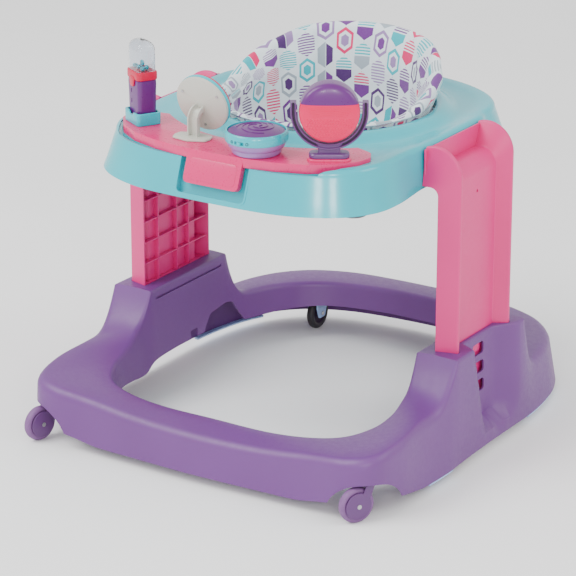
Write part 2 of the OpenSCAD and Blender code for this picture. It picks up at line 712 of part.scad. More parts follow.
// The ball is flattened on its two faces and turns about the line across it
module ball_body() {
  intersection() {
    sphere(r = ball_r, $fn = 96);
    translate([-60, -22, -60]) cube([120, 44, 120]);
  }
}
split_z = 14;
module spinner_ball() {
  color(hot_pink) at_yoke(ball_z) difference() {
    ball_body();
    translate([-80, -80, split_z]) cube(160);
    rotate([0, 90, 0]) cylinder(r = 2, h = 160, center = true);
  }
}
module spinner_cap() {
  color(toy_purple) at_yoke(ball_z) difference() {
    ball_body();
    translate([-80, -80, split_z + 0.1 - 160]) cube(160);
  }
}
module spinner_axle() {
  color(steel) at_yoke(ball_z) rotate([0, 90, 0]) cylinder(r = 1.95, h = 2 * yoke_out - 6, center = true);
}

// ---------- nodes ----------

base_shell();
grip_strips();
caster_socket_left();
caster_socket_right();
caster_fork_left();
caster_fork_right();
front_wheel_left();
front_wheel_right();
front_axle_left();
front_axle_right();
rear_bracket_left();
rear_bracket_right();
rear_wheel_left();
rear_wheel_right();
rear_axle_left();
rear_axle_right();
leg_left();
leg_right();
height_button_left();
height_button_right();
leg_screws();
tray();
seat_hoop();
seat_pad();
seat_bottom();
toy_panel();
toy_screws();
tube_socket();
tube_body();
tube_collar();
tube_dome();
tube_beads();
tube_pivot_pin();
mirror_stalk();
mirror_back();
mirror_rim();
mirror_ring();
mirror_glass();
mirror_screws();
drum_base();
drum_ring();
drum_top();
drum_switch();
drum_circuit_board();
drum_batteries();
drum_speaker();
spinner_yoke();
spinner_ball();
spinner_cap();
spinner_axle();
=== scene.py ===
"""Baby walker: the looks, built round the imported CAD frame.

Lengths in the shape code are millimetres, X right, the walker's front toward -Y, Z up.
"""

import math

import bmesh
import bpy
from mathutils import Matrix, Vector, noise


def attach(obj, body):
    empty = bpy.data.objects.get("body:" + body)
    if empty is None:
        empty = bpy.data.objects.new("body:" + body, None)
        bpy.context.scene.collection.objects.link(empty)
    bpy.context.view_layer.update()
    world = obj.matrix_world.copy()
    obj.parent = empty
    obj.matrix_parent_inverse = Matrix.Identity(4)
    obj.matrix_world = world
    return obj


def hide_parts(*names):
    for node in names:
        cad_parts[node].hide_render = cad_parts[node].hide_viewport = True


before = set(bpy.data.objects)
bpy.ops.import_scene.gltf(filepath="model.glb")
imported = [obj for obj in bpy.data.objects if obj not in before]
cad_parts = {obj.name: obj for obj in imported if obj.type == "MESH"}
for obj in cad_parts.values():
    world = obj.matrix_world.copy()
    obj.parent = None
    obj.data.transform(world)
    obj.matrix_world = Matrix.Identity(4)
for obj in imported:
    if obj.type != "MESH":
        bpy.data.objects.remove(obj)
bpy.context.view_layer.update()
MM = 0.001
WALL = 3.0


# ---------- small maths ----------


def clamp01(v):
    return max(0.0, min(1.0, v))


def mix(a, b, t):
    return a + (b - a) * t


def mix_point(a, b, t):
    return tuple(mix(p, q, t) for p, q in zip(a, b))


def smooth(v):
    t = clamp01(v)
    return t * t * (3 - 2 * t)


def lookup(x, table):
    if x <= table[0][0]:
        return table[0][1]
    for (x0, y0), (x1, y1) in zip(table, table[1:]):
        if x <= x1:
            return mix(y0, y1, (x - x0) / (x1 - x0))
    return table[-1][1]


def whole_loop(half):
    mirrored = [(-r[0], r[1], -r[2], *r[3:]) for r in half[-2:0:-1]]
    return list(half) + mirrored


def spline_row(rows, u):
    n = len(rows)
    i = math.floor(u)
    t = u - i
    a, b, c, d = (rows[(i + k) % n] for k in (-1, 0, 1, 2))
    return tuple(
        0.5
        * (2 * q + (r - p) * t + (2 * p - 5 * q + 4 * r - s) * t * t + (3 * q - p - 3 * r + s) * t**3)
        for p, q, r, s in zip(a, b, c, d)
    )


def spline_loop(rows, steps):
    return [spline_row(rows, i / steps) for i in range(len(rows) * steps)]


def fillet(points, radius, steps=4):
    """A closed outline with its corners rounded. A point may carry its own radius as a third value."""
    out = []
    n = len(points)
    for i, point in enumerate(points):
        p = Vector(point[:2])
        r = point[2] if len(point) > 2 else radius
        to_a = Vector(points[i - 1][:2]) - p
        to_b = Vector(points[(i + 1) % n][:2]) - p
        angle = to_a.angle(to_b)
        if r <= 0 or angle > math.pi - 0.02:
            out.append(tuple(p))
            continue
        cut = min(r / math.tan(angle / 2), to_a.length * 0.48, to_b.length * 0.48)
        start = p + to_a.normalized() * cut
        end = p + to_b.normalized() * cut
        for k in range(steps + 1):
            t = k / steps
            out.append(tuple((1 - t) ** 2 * start + 2 * t * (1 - t) * p + t * t * end))
    return out


def rounded_rect(w, d, r, steps=5):
    return fillet([(w / 2, -d / 2), (w / 2, d / 2), (-w / 2, d / 2), (-w / 2, -d / 2)], r, steps)


def circle_points(r, n, x=0.0, y=0.0):
    turns = [2 * math.pi * i / n for i in range(n)]
    return [(x + r * math.cos(a), y + r * math.sin(a)) for a in turns]


def polar(r, degrees):
    a = math.radians(degrees)
    return (r * math.cos(a), r * math.sin(a))


def inner_side(face, first, last):
    """A section's points WALL inside its face, in reverse order. The two ends are given."""
    inside = []
    for i in range(len(face) - 2, 0, -1):
        (x0, z0), (x1, z1) = face[i - 1][:2], face[i + 1][:2]
        along = Vector((x1 - x0, z1 - z0)).normalized()
        inside.append((face[i][0] + along.y * WALL, face[i][1] - along.x * WALL, *face[i][2:]))
    return [(*last, *face[-1][2:]), *inside, (*first, *face[0][2:])]


# ---------- mesh building ----------


def mesh_object(name, verts, faces):
    mesh = bpy.data.meshes.new(name)
    mesh.from_pydata([tuple(c * MM for c in v) for v in verts], [], faces)
    obj = bpy.data.objects.new(name, mesh)
    bpy.context.scene.collection.objects.link(obj)
    return obj


def edit(obj, change):
    bm = bmesh.new()
    bm.from_mesh(obj.data)
    change(bm)
    bm.to_mesh(obj.data)
    bm.free()
    obj.data.update()
    return obj


def outward(obj):
    return edit(obj, lambda bm: bmesh.ops.recalc_face_normals(bm, faces=bm.faces))


def smooth_by_angle(obj, degrees=32):
    limit = math.radians(degrees)

    def change(bm):
        for face in bm.faces:
            face.smooth = True
        for edge in bm.edges:
            edge.smooth = len(edge.link_faces) == 2 and edge.calc_face_angle(0) < limit

    return edit(obj, change)


def skin(name, sections, ring=True):
    """Quads over closed sections placed one after another, round a ring or capped at both ends."""
    n, m = len(sections), len(sections[0])
    verts = [p for section in sections for p in section]
    faces = [
        (i * m + j, i * m + (j + 1) % m, ((i + 1) % n) * m + (j + 1) % m, ((i + 1) % n) * m + j)
        for i in range(n if ring else n - 1)
        for j in range(m)
    ]
    if not ring:
        faces += [tuple(range(m - 1, -1, -1)), tuple((n - 1) * m + j for j in range(m))]
    return outward(mesh_object(name, verts, faces))


def prism(name, outline, z0, z1):
    return skin(name, [[(x, y, z) for x, y in outline] for z in (z0, z1)], ring=False)


def lathe(name, profile, steps=64, closed=False):
    """Turns (radius, height) points round Z. Points on the axis close the solid."""
    sections = [
        [(r * math.cos(a), r * math.sin(a), z) for r, z in profile]
        for a in (2 * math.pi * i / steps for i in range(steps))
    ]
    m = len(profile)
    verts = [p for section in sections for p in section]
    faces = []
    for i in range(steps):
        k = (i + 1) % steps
        for j in range(m if closed else m - 1):
            faces.append((i * m + j, k * m + j, k * m + (j + 1) % m, i * m + (j + 1) % m))
    obj = mesh_object(name, verts, faces)
    edit(obj, lambda bm: bmesh.ops.remove_doubles(bm, verts=bm.verts, dist=1e-6))
    edit(obj, lambda bm: bmesh.ops.dissolve_degenerate(bm, edges=bm.edges, dist=1e-7))
    return outward(obj)


def box(name, low, high):
    (x0, y0, z0), (x1, y1, z1) = low, high
    return prism(name, [(x0, y0), (x1, y0), (x1, y1), (x0, y1)], z0, z1)


def sweep(name, path, section):
    """Carries a closed (across, out) section along an open path."""
    pts = [Vector(p) for p in path]
    sections = []
    side = None
    for i, p in enumerate(pts):
        along = (pts[min(i + 1, len(pts) - 1)] - pts[max(i - 1, 0)]).normalized()
        if side is None:
            side = along.orthogonal().normalized()
        side = (side - along * side.dot(along)).normalized()
        out = along.cross(side)
        sections.append([tuple(p + side * a + out * b) for a, b in section])
    return skin(name, sections, ring=False)


def apply_modifiers(obj):
    bpy.context.view_layer.update()
    graph = bpy.context.evaluated_depsgraph_get()
    mesh = bpy.data.meshes.new_from_object(obj.evaluated_get(graph))
    obj.modifiers.clear()
    old = obj.data
    obj.data = mesh
    bpy.data.meshes.remove(old)
    return obj


def drop(obj):
    mesh = obj.data
    bpy.data.objects.remove(obj)
    bpy.data.meshes.remove(mesh)


def boolean(obj, *others, how="DIFFERENCE"):
    for other in others:
        mod = obj.modifiers.new("boolean", "BOOLEAN")
        mod.operation = how
        mod.solver = "EXACT"
        mod.object = other
        apply_modifiers(obj)
        drop(other)
    return obj


def bevel(obj, width, segments=3, degrees=35):
    mod = obj.modifiers.new("bevel", "BEVEL")
    mod.width = width * MM
    mod.segments = segments
    mod.limit_method = "ANGLE"
    mod.angle_limit = math.radians(degrees)
    mod.use_clamp_overlap = True
    return apply_modifiers(obj)


def subdivide(obj, levels):
    mod = obj.modifiers.new("subdivision", "SUBSURF")
    mod.levels = levels
    return apply_modifiers(obj)


def join(obj, *others):
    bm = bmesh.new()
    bm.from_mesh(obj.data)
    for other in others:
        bm.from_mesh(other.data)
    bm.to_mesh(obj.data)
    bm.free()
    for other in others:
        drop(other)
    return obj


def place(obj, matrix):
    m = matrix.copy()
    m.translation = m.translation * MM
    obj.data.transform(m)
    if m.determinant() < 0:
        obj.data.flip_normals()
    return obj


MIRROR_X = Matrix.Scale(-1, 4, (1, 0, 0))


def mirrored(obj, name):
    copy = bpy.data.objects.new(name, obj.data.copy())
    bpy.context.scene.collection.objects.link(copy)
    return place(copy, MIRROR_X)


def moved(x, y, z):
    return Matrix.Translation((x, y, z))


def turned(axis, degrees):
    return Matrix.Rotation(math.radians(degrees), 4, axis)


def at(x, y, z, turn=0.0):
    return moved(x, y, z) @ turned("Z", turn)


# Stands a flat outline upright: its x runs along X or along Y, and its y runs up.
UPRIGHT = turned("X", 90)
ALONG_Y = turned("Z", 90) @ UPRIGHT


# ---------- materials ----------


def colour(r, g, b):
    """Linear values from 0-255 display values."""
    shown = [c / 255 for c in (r, g, b)]
    return (*(((c + 0.055) / 1.055) ** 2.4 if c > 10 / 255 else c / 12.92 for c in shown), 1.0)


def scaled(rgb, factor, lift=0.0):
    return (*(min(1.0, c * factor + lift) for c in rgb[:3]), 1.0)


class Material:
    """Builds one node material. Values may be numbers or sockets."""

    def __init__(self, name):
        self.material = bpy.data.materials.new(name)
        self.material.use_nodes = True
        self.tree = self.material.node_tree
        self.shader = self.tree.nodes["Principled BSDF"]
        self.coords = self.tree.nodes.new("ShaderNodeTexCoord")

    def node(self, kind, **inputs):
        made = self.tree.nodes.new(kind)
        for key, value in inputs.items():
            self.feed(made.inputs[key.replace("_", " ")], value)
        return made

    def feed(self, socket, value):
        if isinstance(value, bpy.types.NodeSocket):
            self.tree.links.new(value, socket)
        else:
            socket.default_value = value

    def math(self, operation, a, b=0.0, c=0.0):
        made = self.tree.nodes.new("ShaderNodeMath")
        made.operation = operation
        for socket, value in zip(made.inputs, (a, b, c)):
            self.feed(socket, value)
        return made.outputs[0]

    def mix(self, factor, a, b):
        made = self.tree.nodes.new("ShaderNodeMix")
        made.data_type = "RGBA"
        self.feed(made.inputs[0], factor)
        self.feed(made.inputs[6], a)
        self.feed(made.inputs[7], b)
        return made.outputs[2]

    def times(self, a, b):
        return self.math("MULTIPLY", a, b)

    def over(self, a, b):
        return self.math("GREATER_THAN", a, b)

    def under(self, a, b):
        return self.math("LESS_THAN", a, b)

    def noise(self, scale, detail=2.0, roughness=0.5):
        where = self.coords.outputs["Object"]
        values = {"Vector": where, "Scale": scale, "Detail": detail, "Roughness": roughness}
        return self.node("ShaderNodeTexNoise", **values).outputs[0]

    def ramp(self, factor, stops, constant=False):
        made = self.tree.nodes.new("ShaderNodeValToRGB")
        ramp = made.color_ramp
        ramp.interpolation = "CONSTANT" if constant else "LINEAR"
        while len(ramp.elements) < len(stops):
            ramp.elements.new(0.5)
        for element, (position, value) in zip(ramp.elements, stops):
            element.position = position
            element.color = value if isinstance(value, tuple) else (value, value, value, 1.0)
        self.feed(made.inputs[0], factor)
        return made.outputs[0]

    def bump(self, height, strength, distance, after=None):
        made = self.node("ShaderNodeBump", Height=height, Strength=strength, Distance=distance)
        if after is not None:
            self.feed(made.inputs["Normal"], after)
        return made.outputs[0]

    def set(self, **values):
        for key, value in values.items():
            self.feed(self.shader.inputs[key.replace("_", " ")], value)
        return self


def moulded(name, rgb, rough=0.38, grain=0.12, coat=0.0, shift=0.06, glow=0.03, shine=0.5):
    """Injection-moulded plastic: slight colour drift, fine moulded grain, faint scuffs in the gloss."""
    m = Material(name)
    drift = m.noise(6.0, 3.0)
    m.set(Base_Color=m.ramp(drift, [(0.3, scaled(rgb, 1 - shift)), (0.7, scaled(rgb, 1 + shift))]))
    scuffs = m.noise(140.0, 6.0, 0.7)
    m.set(Roughness=m.ramp(scuffs, [(0.35, rough * 0.85), (0.75, rough * 1.2)]))
    fine = m.bump(m.noise(2600.0, 2.0), grain, 0.0002)
    m.set(Normal=m.bump(m.noise(38.0, 2.0), 0.05, 0.0006, fine))
    m.set(Coat_Weight=coat, Coat_Roughness=0.12, Subsurface_Weight=glow, Subsurface_Scale=0.004)
    m.set(Specular_IOR_Level=shine)
    return m.material


def brushed_metal(name, rgb, rough=0.3):
    m = Material(name)
    streaks = m.noise(900.0, 4.0, 0.8)
    m.set(Base_Color=m.ramp(streaks, [(0.3, scaled(rgb, 0.8)), (0.7, rgb)]))
    m.set(Metallic=1.0, Roughness=m.ramp(streaks, [(0.3, rough * 0.7), (0.8, rough * 1.4)]))
    m.set(Normal=m.bump(streaks, 0.15, 0.0002))
    return m.material


def rubbery(name, rgb, rough=0.6):
    m = Material(name)
    dust = m.noise(160.0, 5.0, 0.7)
    m.set(Base_Color=m.ramp(dust, [(0.3, rgb), (0.8, scaled(rgb, 1.25, 0.01))]))
    m.set(Roughness=m.ramp(dust, [(0.3, rough), (0.8, min(1.0, rough * 1.3))]))
    m.set(Normal=m.bump(m.noise(1800.0, 3.0), 0.3, 0.0003))
    return m.material


def clear_plastic(name):
    m = Material(name)
    haze = m.noise(60.0, 4.0)
    m.set(Base_Color=colour(236, 240, 246), Transmission_Weight=1.0, IOR=1.3)
    m.set(Roughness=m.ramp(haze, [(0.4, 0.03), (0.8, 0.09)]), Coat_Weight=0.4)
    m.set(Normal=m.bump(m.noise(55.0, 2.0), 0.08, 0.0005))
    return m.material


def mirror_film(name):
    m = Material(name)
    m.set(Base_Color=colour(226, 230, 234), Metallic=1.0)
    m.set(Roughness=m.ramp(m.noise(90.0, 4.0), [(0.3, 0.04), (0.8, 0.1)]))
    m.set(Normal=m.bump(m.noise(24.0, 2.0), 0.1, 0.0008))
    return m.material


def cloth_bump(m):
    """Over-and-under weave of about 0.7 mm, from the position on the object."""
    parts = m.node("ShaderNodeSeparateXYZ", Vector=m.coords.outputs["Object"])
    x, y, z = parts.outputs
    across = m.math("SINE", m.times(m.math("ADD", x, y), 6200.0))
    slant = m.math("SUBTRACT", z, m.times(y, 0.6))
    up = m.math("SINE", m.times(slant, 6800.0))
    weave = m.times(across, up)
    fine = m.bump(weave, 0.35, 0.0003)
    wrinkles = m.bump(m.noise(70.0, 4.0, 0.6), 0.35, 0.0016, fine)
    return m.bump(m.noise(18.0, 3.0), 0.25, 0.004, wrinkles)


def printed_fabric(name):
    """Seat cloth printed with columns of long hexagons: outlines, halves, stripes and facets."""
    m = Material(name)
    uv = m.tree.nodes.new("ShaderNodeUVMap")
    uv.uv_map = "print"
    parts = m.node("ShaderNodeSeparateXYZ", Vector=uv.outputs[0])
    cell_w, cell_h = 0.0320, 0.0470
    u = m.math("DIVIDE", parts.outputs[0], cell_w)
    column = m.math("FLOOR", u)
    odd = m.math("MODULO", m.math("ABSOLUTE", column), 2.0)
    v = m.math("ADD", m.math("DIVIDE", parts.outputs[1], cell_h), m.times(odd, 0.5))
    row = m.math("FLOOR", v)
    x = m.math("SUBTRACT", m.math("SUBTRACT", u, column), 0.5)
    y = m.math("SUBTRACT", m.math("SUBTRACT", v, row), 0.5)
    ax = m.math("ABSOLUTE", x)
    ay = m.math("ABSOLUTE", y)
    slope = m.math("ADD", ay, m.times(ax, 0.50))
    gem = m.math("MAXIMUM", m.math("DIVIDE", ax, 0.43), m.math("DIVIDE", slope, 0.475))

    def chance(salt):
        cell = m.node("ShaderNodeCombineXYZ", X=column, Y=row, Z=salt)
        made = m.tree.nodes.new("ShaderNodeTexWhiteNoise")
        m.feed(made.inputs["Vector"], cell.outputs[0])
        return made.outputs["Value"]

    def within(value, low, high):
        return m.times(m.over(value, low), m.under(value, high))

    def any_of(a, b):
        return m.math("MAXIMUM", a, b)

    inks = [
        (0.00, colour(104, 40, 128)),
        (0.24, colour(10, 170, 182)),
        (0.46, colour(146, 116, 168)),
        (0.64, colour(214, 0, 96)),
        (0.74, colour(150, 164, 174)),
        (0.88, colour(70, 26, 96)),
    ]
    first = m.ramp(chance(0.3), inks, constant=True)
    second = m.ramp(chance(5.7), inks, constant=True)
    kind = chance(11.2)
    inside = m.under(gem, 1.0)
    ring = within(gem, 0.74, 1.0)
    core = m.under(gem, 0.46)
    stripes = m.over(m.math("SINE", m.times(y, 62.0)), 0.0)
    upper = m.over(y, 0.0)
    right = m.over(x, 0.0)
    outlined = within(kind, -0.1, 0.34)
    striped = within(kind, 0.34, 0.52)
    halved = within(kind, 0.52, 0.76)
    faceted = within(kind, 0.76, 1.1)
    ink_1 = m.times(outlined, ring)
    ink_1 = any_of(ink_1, m.times(striped, m.times(inside, stripes)))
    ink_1 = any_of(ink_1, m.times(halved, m.times(inside, upper)))
    ink_1 = any_of(ink_1, m.times(faceted, m.times(inside, right)))
    ink_2 = m.times(outlined, core)
    lower = m.times(stripes, m.under(y, -0.04))
    ink_2 = any_of(ink_2, m.times(halved, m.times(inside, lower)))
    ink_2 = any_of(ink_2, m.times(faceted, m.times(within(gem, 0.0, 0.9), m.under(x, -0.03))))
    ground = m.ramp(m.noise(25.0, 3.0), [(0.3, colour(204, 218, 224)), (0.7, colour(222, 233, 237))])
    printed = m.mix(ink_2, m.mix(ink_1, ground, first), second)
    m.set(Base_Color=printed, Roughness=m.ramp(m.noise(300.0, 3.0), [(0.3, 0.7), (0.7, 0.88)]))
    m.set(Sheen_Weight=0.25, Sheen_Roughness=0.5, Normal=cloth_bump(m))
    return m.material


def plain_fabric(name, rgb):
    m = Material(name)
    m.set(Base_Color=m.ramp(m.noise(500.0, 4.0, 0.7), [(0.3, rgb), (0.7, scaled(rgb, 1.12))]))
    m.set(Roughness=0.85, Sheen_Weight=0.2, Normal=cloth_bump(m))
    return m.material


PURPLE = moulded("purple shell", colour(102, 54, 122), rough=0.44, grain=0.2)
TYRE_PURPLE = rubbery("purple tyre", colour(112, 72, 124), rough=0.5)
PINK = moulded("leg pink", colour(214, 36, 120), rough=0.4, grain=0.16)
TURQUOISE = moulded("turquoise tray", colour(24, 172, 186), rough=0.24, grain=0.05, coat=0.35)
PANEL = moulded("panel pink", colour(216, 26, 106), rough=0.3, grain=0.03, coat=0.2, shift=0.03)
TEAL = moulded("teal", colour(0, 176, 190), rough=0.26, grain=0.05, coat=0.3)
TOY_PURPLE = moulded("toy purple", colour(90, 16, 106), rough=0.32, grain=0.08, coat=0.1)
RED = moulded("toy red", colour(196, 0, 60), rough=0.26, coat=0.1, grain=0.04, glow=0.0, shine=0.25)
HOT_PINK = moulded("hot pink", colour(228, 0, 84), rough=0.2, coat=0.12, grain=0.04, glow=0.0, shine=0.25)
PALE_GREY = moulded("pale grey", colour(188, 188, 178), rough=0.42, shift=0.03)
LAVENDER = moulded("lavender", colour(152, 110, 174), rough=0.34, coat=0.1)
MAUVE = moulded("mauve", colour(92, 50, 108), rough=0.36, coat=0.1)
# Dark plastic of the rear hubs, drum speaker and switch marks; also used as painted shade on the floor of the
# spinner yoke's groove.
DARK_PLASTIC_AND_SHADE = moulded("dark plastic and shade", colour(40, 16, 46), rough=0.6)
GRIP = rubbery("grip blue", colour(160, 188, 230), rough=0.5)
BLACK = rubbery("black tyre", colour(34, 30, 34), rough=0.45)
GREY = moulded("hidden grey", colour(120, 124, 130), rough=0.5)
BOARD = moulded("circuit board", colour(30, 110, 50), rough=0.4)
STEEL = brushed_metal("steel", colour(190, 190, 192))
CLEAR = clear_plastic("clear dome")
MIRROR = mirror_film("mirror film")
FABRIC = printed_fabric("printed cloth")
LINING = plain_fabric("grey lining", colour(150, 156, 164))


def finish_piece(obj, body, slot, material, *nodes, angle=32):
    """Smooths a piece, gives it its material, ties it to its body and hides the CAD nodes it replaces. The
    slot is not used.
    """
    obj.data.materials.clear()
    obj.data.materials.append(material)
    smooth_by_angle(obj, angle)
    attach(obj, body)
    if nodes:
        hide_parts(*nodes)
    return obj


# ---------- base ----------

BASE_Z, TOWER_TOP, RIM_FRONT, RIM_REAR, LEG_Y = 16.0, 182.0, -113.0, 101.0, -6.0
SCOOP_DEPTH, OPENING_LEAN = 27.0, 8.0
CASTER_X, CASTER_Y, TRAIL, CASTER_WELL_R = 289.0, -329.5, 18.0, 64.0
REAR_X, REAR_Y = 190.0, 300.0
WINDOWS_Z = (158.0, 128.0, 98.0)
BUTTON_Z = WINDOWS_Z[0]
LEG_INNER_X, LEG_WEB_X, LEG_FACE_X = 267.0, 280.0, 300.0
# One half of the base seen from above, front to rear: the outer edge's x and y, the opening's x and y,
# the heights of the top's outer and inner side, the height of the opening's lower edge, and the face's lean.
BASE_HALF = [
    (0, -363, 0, -285, 76, 84, 58, 12),
    (110, -360, 92, -285, 78, 84, 58, 12),
    (200, -357, 160, -278, 87, 88, 58, 9),
    (266, -358, 206, -256, 96, 92, 56, 5),
    (306, -338, 230, -216, 103, 97, 54, 3),
    (320, -285, 236, -180, 110, 103, 52, 5),
    (321, -225, 237, -156, 115, 106, 50, 9),
    (324, -150, 237, -136, 117, 108, 52, 10),
    (322, -113, 236, -113, 117, 110, 66, 7),
    (320, -60, 236, -60, 116, 110, 70, 6),
    (319, -6, 236, -6, 112, 108, 70, 6),
    (319, 48, 236, 48, 104, 104, 70, 6),
    (319, 101, 236, 101, 97, 101, 66, 7),
    (317, 140, 234, 130, 95, 100, 58, 10),
    (311, 185, 228, 168, 95, 99, 54, 12),
    (299, 235, 213, 206, 95, 98, 54, 12),
    (273, 288, 186, 241, 95, 97, 56, 12),
    (228, 333, 144, 268, 95, 97, 58, 12),
    (160, 362, 88, 283, 95, 97, 58, 12),
    (80, 374, 42, 289, 95, 97, 58, 12),
    (0, 377.5, 0, 290, 95, 97, 58, 12),
]


def tower_rise(y):
    front = clamp01((RIM_FRONT - y) / 85)
    rear = clamp01((y - RIM_REAR) / 68)
    return (1 - max(front, rear)) ** 2.8


def scoop(y, z):
    """Inward depth of the thumb scoop: a crisp slanting lip in front, a soft ramp behind."""
    lip = mix(-30, -60, clamp01((z - 40) / 140))
    floor_z = 26 + 0.35 * abs(y - 20)
    return SCOOP_DEPTH * smooth((y - lip) / 15) * smooth((88 - y) / 52) * smooth((z - floor_z) / 24)


def base_bottom(x, y):
    """Height of the outer wall's lower edge, raised round the front corners."""
    return BASE_Z + 12 * smooth((130 - math.hypot(abs(x) - 300, y + 335)) / 90)


def base_section(row):
    """The shell's closed section at one row. Each face point also carries its share of the scoop."""
    out, inner = Vector(row[0:2]), Vector(row[2:4])
    w = (inner - out).length
    inward = (inner - out) / w
    rise, rise_in = tower_rise(row[1]), tower_rise(row[3])
    zo, zi = mix(row[4], TOWER_TOP, rise), mix(row[5], TOWER_TOP, rise_in)
    zb, lean = row[6], row[7]
    r, r_in = mix(15, 5, rise), mix(9, 4, rise)
    top = w - OPENING_LEAN
    low = base_bottom(*out)
    face = [(0.0, low, 1.0)]
    for f in (0.04, 0.12, 0.22, 0.32, 0.42, 0.52, 0.62, 0.72, 0.82, 0.92):
        face.append((lean * 0.9 * f, mix(low, zo - r * 1.1, f), 1.0))
    for k in range(6):
        a = math.radians(90 * k / 5)
        depth = lean * 0.9 + (r + lean * 0.1) * (1 - math.cos(a))
        face.append((depth, zo - r * 1.1 * (1 - math.sin(a)), 1.0))
    for f, share in ((0.33, 0.75), (0.67, 0.35)):
        face.append((mix(lean + r, top - r_in, f), mix(zo, zi, f) + 0.8, share))
    for k in range(5):
        a = math.radians(90 - 90 * k / 4)
        face.append((top - r_in + r_in * math.cos(a), zi - r_in * (1 - math.sin(a)), 0.0))
    face += [(top + OPENING_LEAN * f, mix(zi - r_in, zb, f), 0.0) for f in (0.2, 0.45, 0.7, 0.96, 1.0)]
    inside = inner_side(face, (WALL, low), (w - WALL, zb))
    side = 1 if out.x > 0 else -1
    points = []
    for d, z, share in face + inside:
        xy = out + inward * d
        points.append((xy.x - side * share * scoop(xy.y, z), xy.y, z))
    return points


def leg_outline(gap):
    """The leg's channel seen from above, grown by the slot's gap."""
    inner, web, face = LEG_INNER_X - gap, LEG_WEB_X + gap, LEG_FACE_X + gap
    half = [(inner, 92 + gap), (face, 82 + gap), (face, 76 - gap), (web, 62 - gap)]
    return [(x, LEG_Y - y) for x, y in half] + [(x, LEG_Y + y) for x, y in half[::-1]]


def facing_x(obj, x, y, z):
    """Turns a piece built upright on Z so that it points along +X, and moves it."""
    return place(obj, moved(x, y, z) @ turned("Y", 90))


def build_base():
    base = skin("base", [base_section(r) for r in spline_loop(whole_loop(BASE_HALF), 8)])
    cutters = []
    for side in (1, -1):
        parts = [prism("c", fillet(leg_outline(0.8), 2.0, 3), 160, 200)]
        for z in WINDOWS_Z:
            parts.append(facing_x(prism("c", rounded_rect(19, 34, 6), 0, 34), 270, 0, z))
        swivel = moved(CASTER_X, CASTER_Y, 0)
        parts.append(place(lathe("c", [(0, 50), (8.9, 50), (8.9, 91), (0, 91)], 32), swivel))
        well = [(r, z - 1) for r, z in (polar(CASTER_WELL_R, a) for a in range(-90, 91, 5))]
        parts.append(place(lathe("c", well, 96), swivel))
        rear_hole = lathe("c", [(0, 40), (4.4, 40), (4.4, 88), (0, 88)], 24)
        parts.append(place(rear_hole, moved(REAR_X, REAR_Y, 0)))
        parts.append(box("c", (236, -100, 165), (245.8, 86, 168.5)))
        arch = [(8, 40, 0), (152, 40, 0), (112, 96, 12), (92, 101, 12), (44, 96, 12), (30, 78, 6)]
        parts.append(place(prism("c", fillet(arch, 0, 5), -14, 14), moved(238, 0, 0) @ ALONG_Y))
        parts.append(box("c", (222, -14, 60), (252, 6, 84)))
        for part in parts:
            if side < 0:
                place(part, MIRROR_X)
            cutters.append(part)
    boolean(base, *cutters)
    return finish_piece(base, "base", "base", PURPLE, "base_shell", angle=34)


build_base()


# ---------- legs ----------

ARCH_OUT, ARCH_OUT_R, ARCH_IN, ARCH_IN_R = (255.4, 455.0), 44.6, (254.0, 426.0), 13.0
RIB_LEVELS = (110, 180, 215, 250, 285, 320, 355, 390)
LEG_DEPTH = LEG_FACE_X - LEG_INNER_X


def both_ways(half):
    """(depth, y, ...) points at -y, then the same points at +y in reverse order."""
    return [(d, -y, *r) for d, y, *r in half] + [(d, y, *r) for d, y, *r in half[::-1]]


# The channel's outer and inner side: depth behind the face, y from the middle, corner radius.
LEG_WALL_OUT = both_ways([(33, 92, 0.6), (0, 82, 3.2), (0, 76, 3.2), (20, 62, 4)])
LEG_WALL_IN = both_ways([(33, 89, 0.6), (3, 80.2, 1.2), (3, 77.8, 1.2), (23, 64.5, 2)])[::-1]


def arch_outer(t):
    a = math.radians(109.5 * t)
    return ARCH_OUT[0] + ARCH_OUT_R * math.cos(a), ARCH_OUT[1] + ARCH_OUT_R * math.sin(a)


def arch_inner(t):
    if t < 0.7:
        a = math.radians(90 * t / 0.7)
        return ARCH_IN[0] + ARCH_IN_R * math.cos(a), ARCH_IN[1] + ARCH_IN_R * math.sin(a)
    return mix_point((ARCH_IN[0], 439.0), (240.4, 439.0), (t - 0.7) / 0.3)


def build_leg():
    sides = [((LEG_FACE_X, z), (LEG_INNER_X, z)) for z in (74, 76, 160, 260, 340, 400)]
    sides += [(arch_outer(i / 28), arch_inner(i / 28)) for i in range(29)]
    wall = fillet(LEG_WALL_OUT + LEG_WALL_IN, 1.0, 5)
    sections = []
    for outer, inner in sides:
        section = []
        for depth, y in wall:
            x, z = mix_point(outer, inner, depth / LEG_DEPTH)
            section.append((x, LEG_Y + y, z))
        sections.append(section)
    leg = skin("leg_right", sections, ring=False)
    hole = facing_x(prism("c", rounded_rect(14.8, 28.8, 5), 0, 60), 260, 0, BUTTON_Z)
    screw = facing_x(prism("c", circle_points(2.5, 24), 0, 60), 260, -1, 412)
    boolean(leg, hole, screw)
    plate = bevel(box("p", (240.9, LEG_Y - 89.5, 441), (243.9, LEG_Y + 89.5, 495)), 1.0)
    parts = [plate]
    inside = both_ways([(31, 88.3), (5, 80.6), (5, 77.6), (22.4, 64)])[::-1]
    outline = [(LEG_FACE_X - d, LEG_Y + y) for d, y in inside]
    for z in RIB_LEVELS:
        parts.append(bevel(prism("p", outline, z, z + 2.2), 0.6, 2))
    for y in (-54, -2, 31):
        pieces = [(76, 428)] if y == -54 else [(76, 140), (177, 428)]
        parts += [bevel(box("p", (269, y - 1.2, a), (277.6, y + 1.2, b)), 0.6, 2) for a, b in pieces]
    for y in (-22, 22):
        parts.append(bevel(box("p", (271, y - 1, 140), (277.6, y + 1, 176)), 0.5, 2))
    for z in (139, 176):
        parts.append(bevel(box("p", (271, -22, z - 1), (277.6, 22, z + 1)), 0.5, 2))
    return join(leg, *parts)


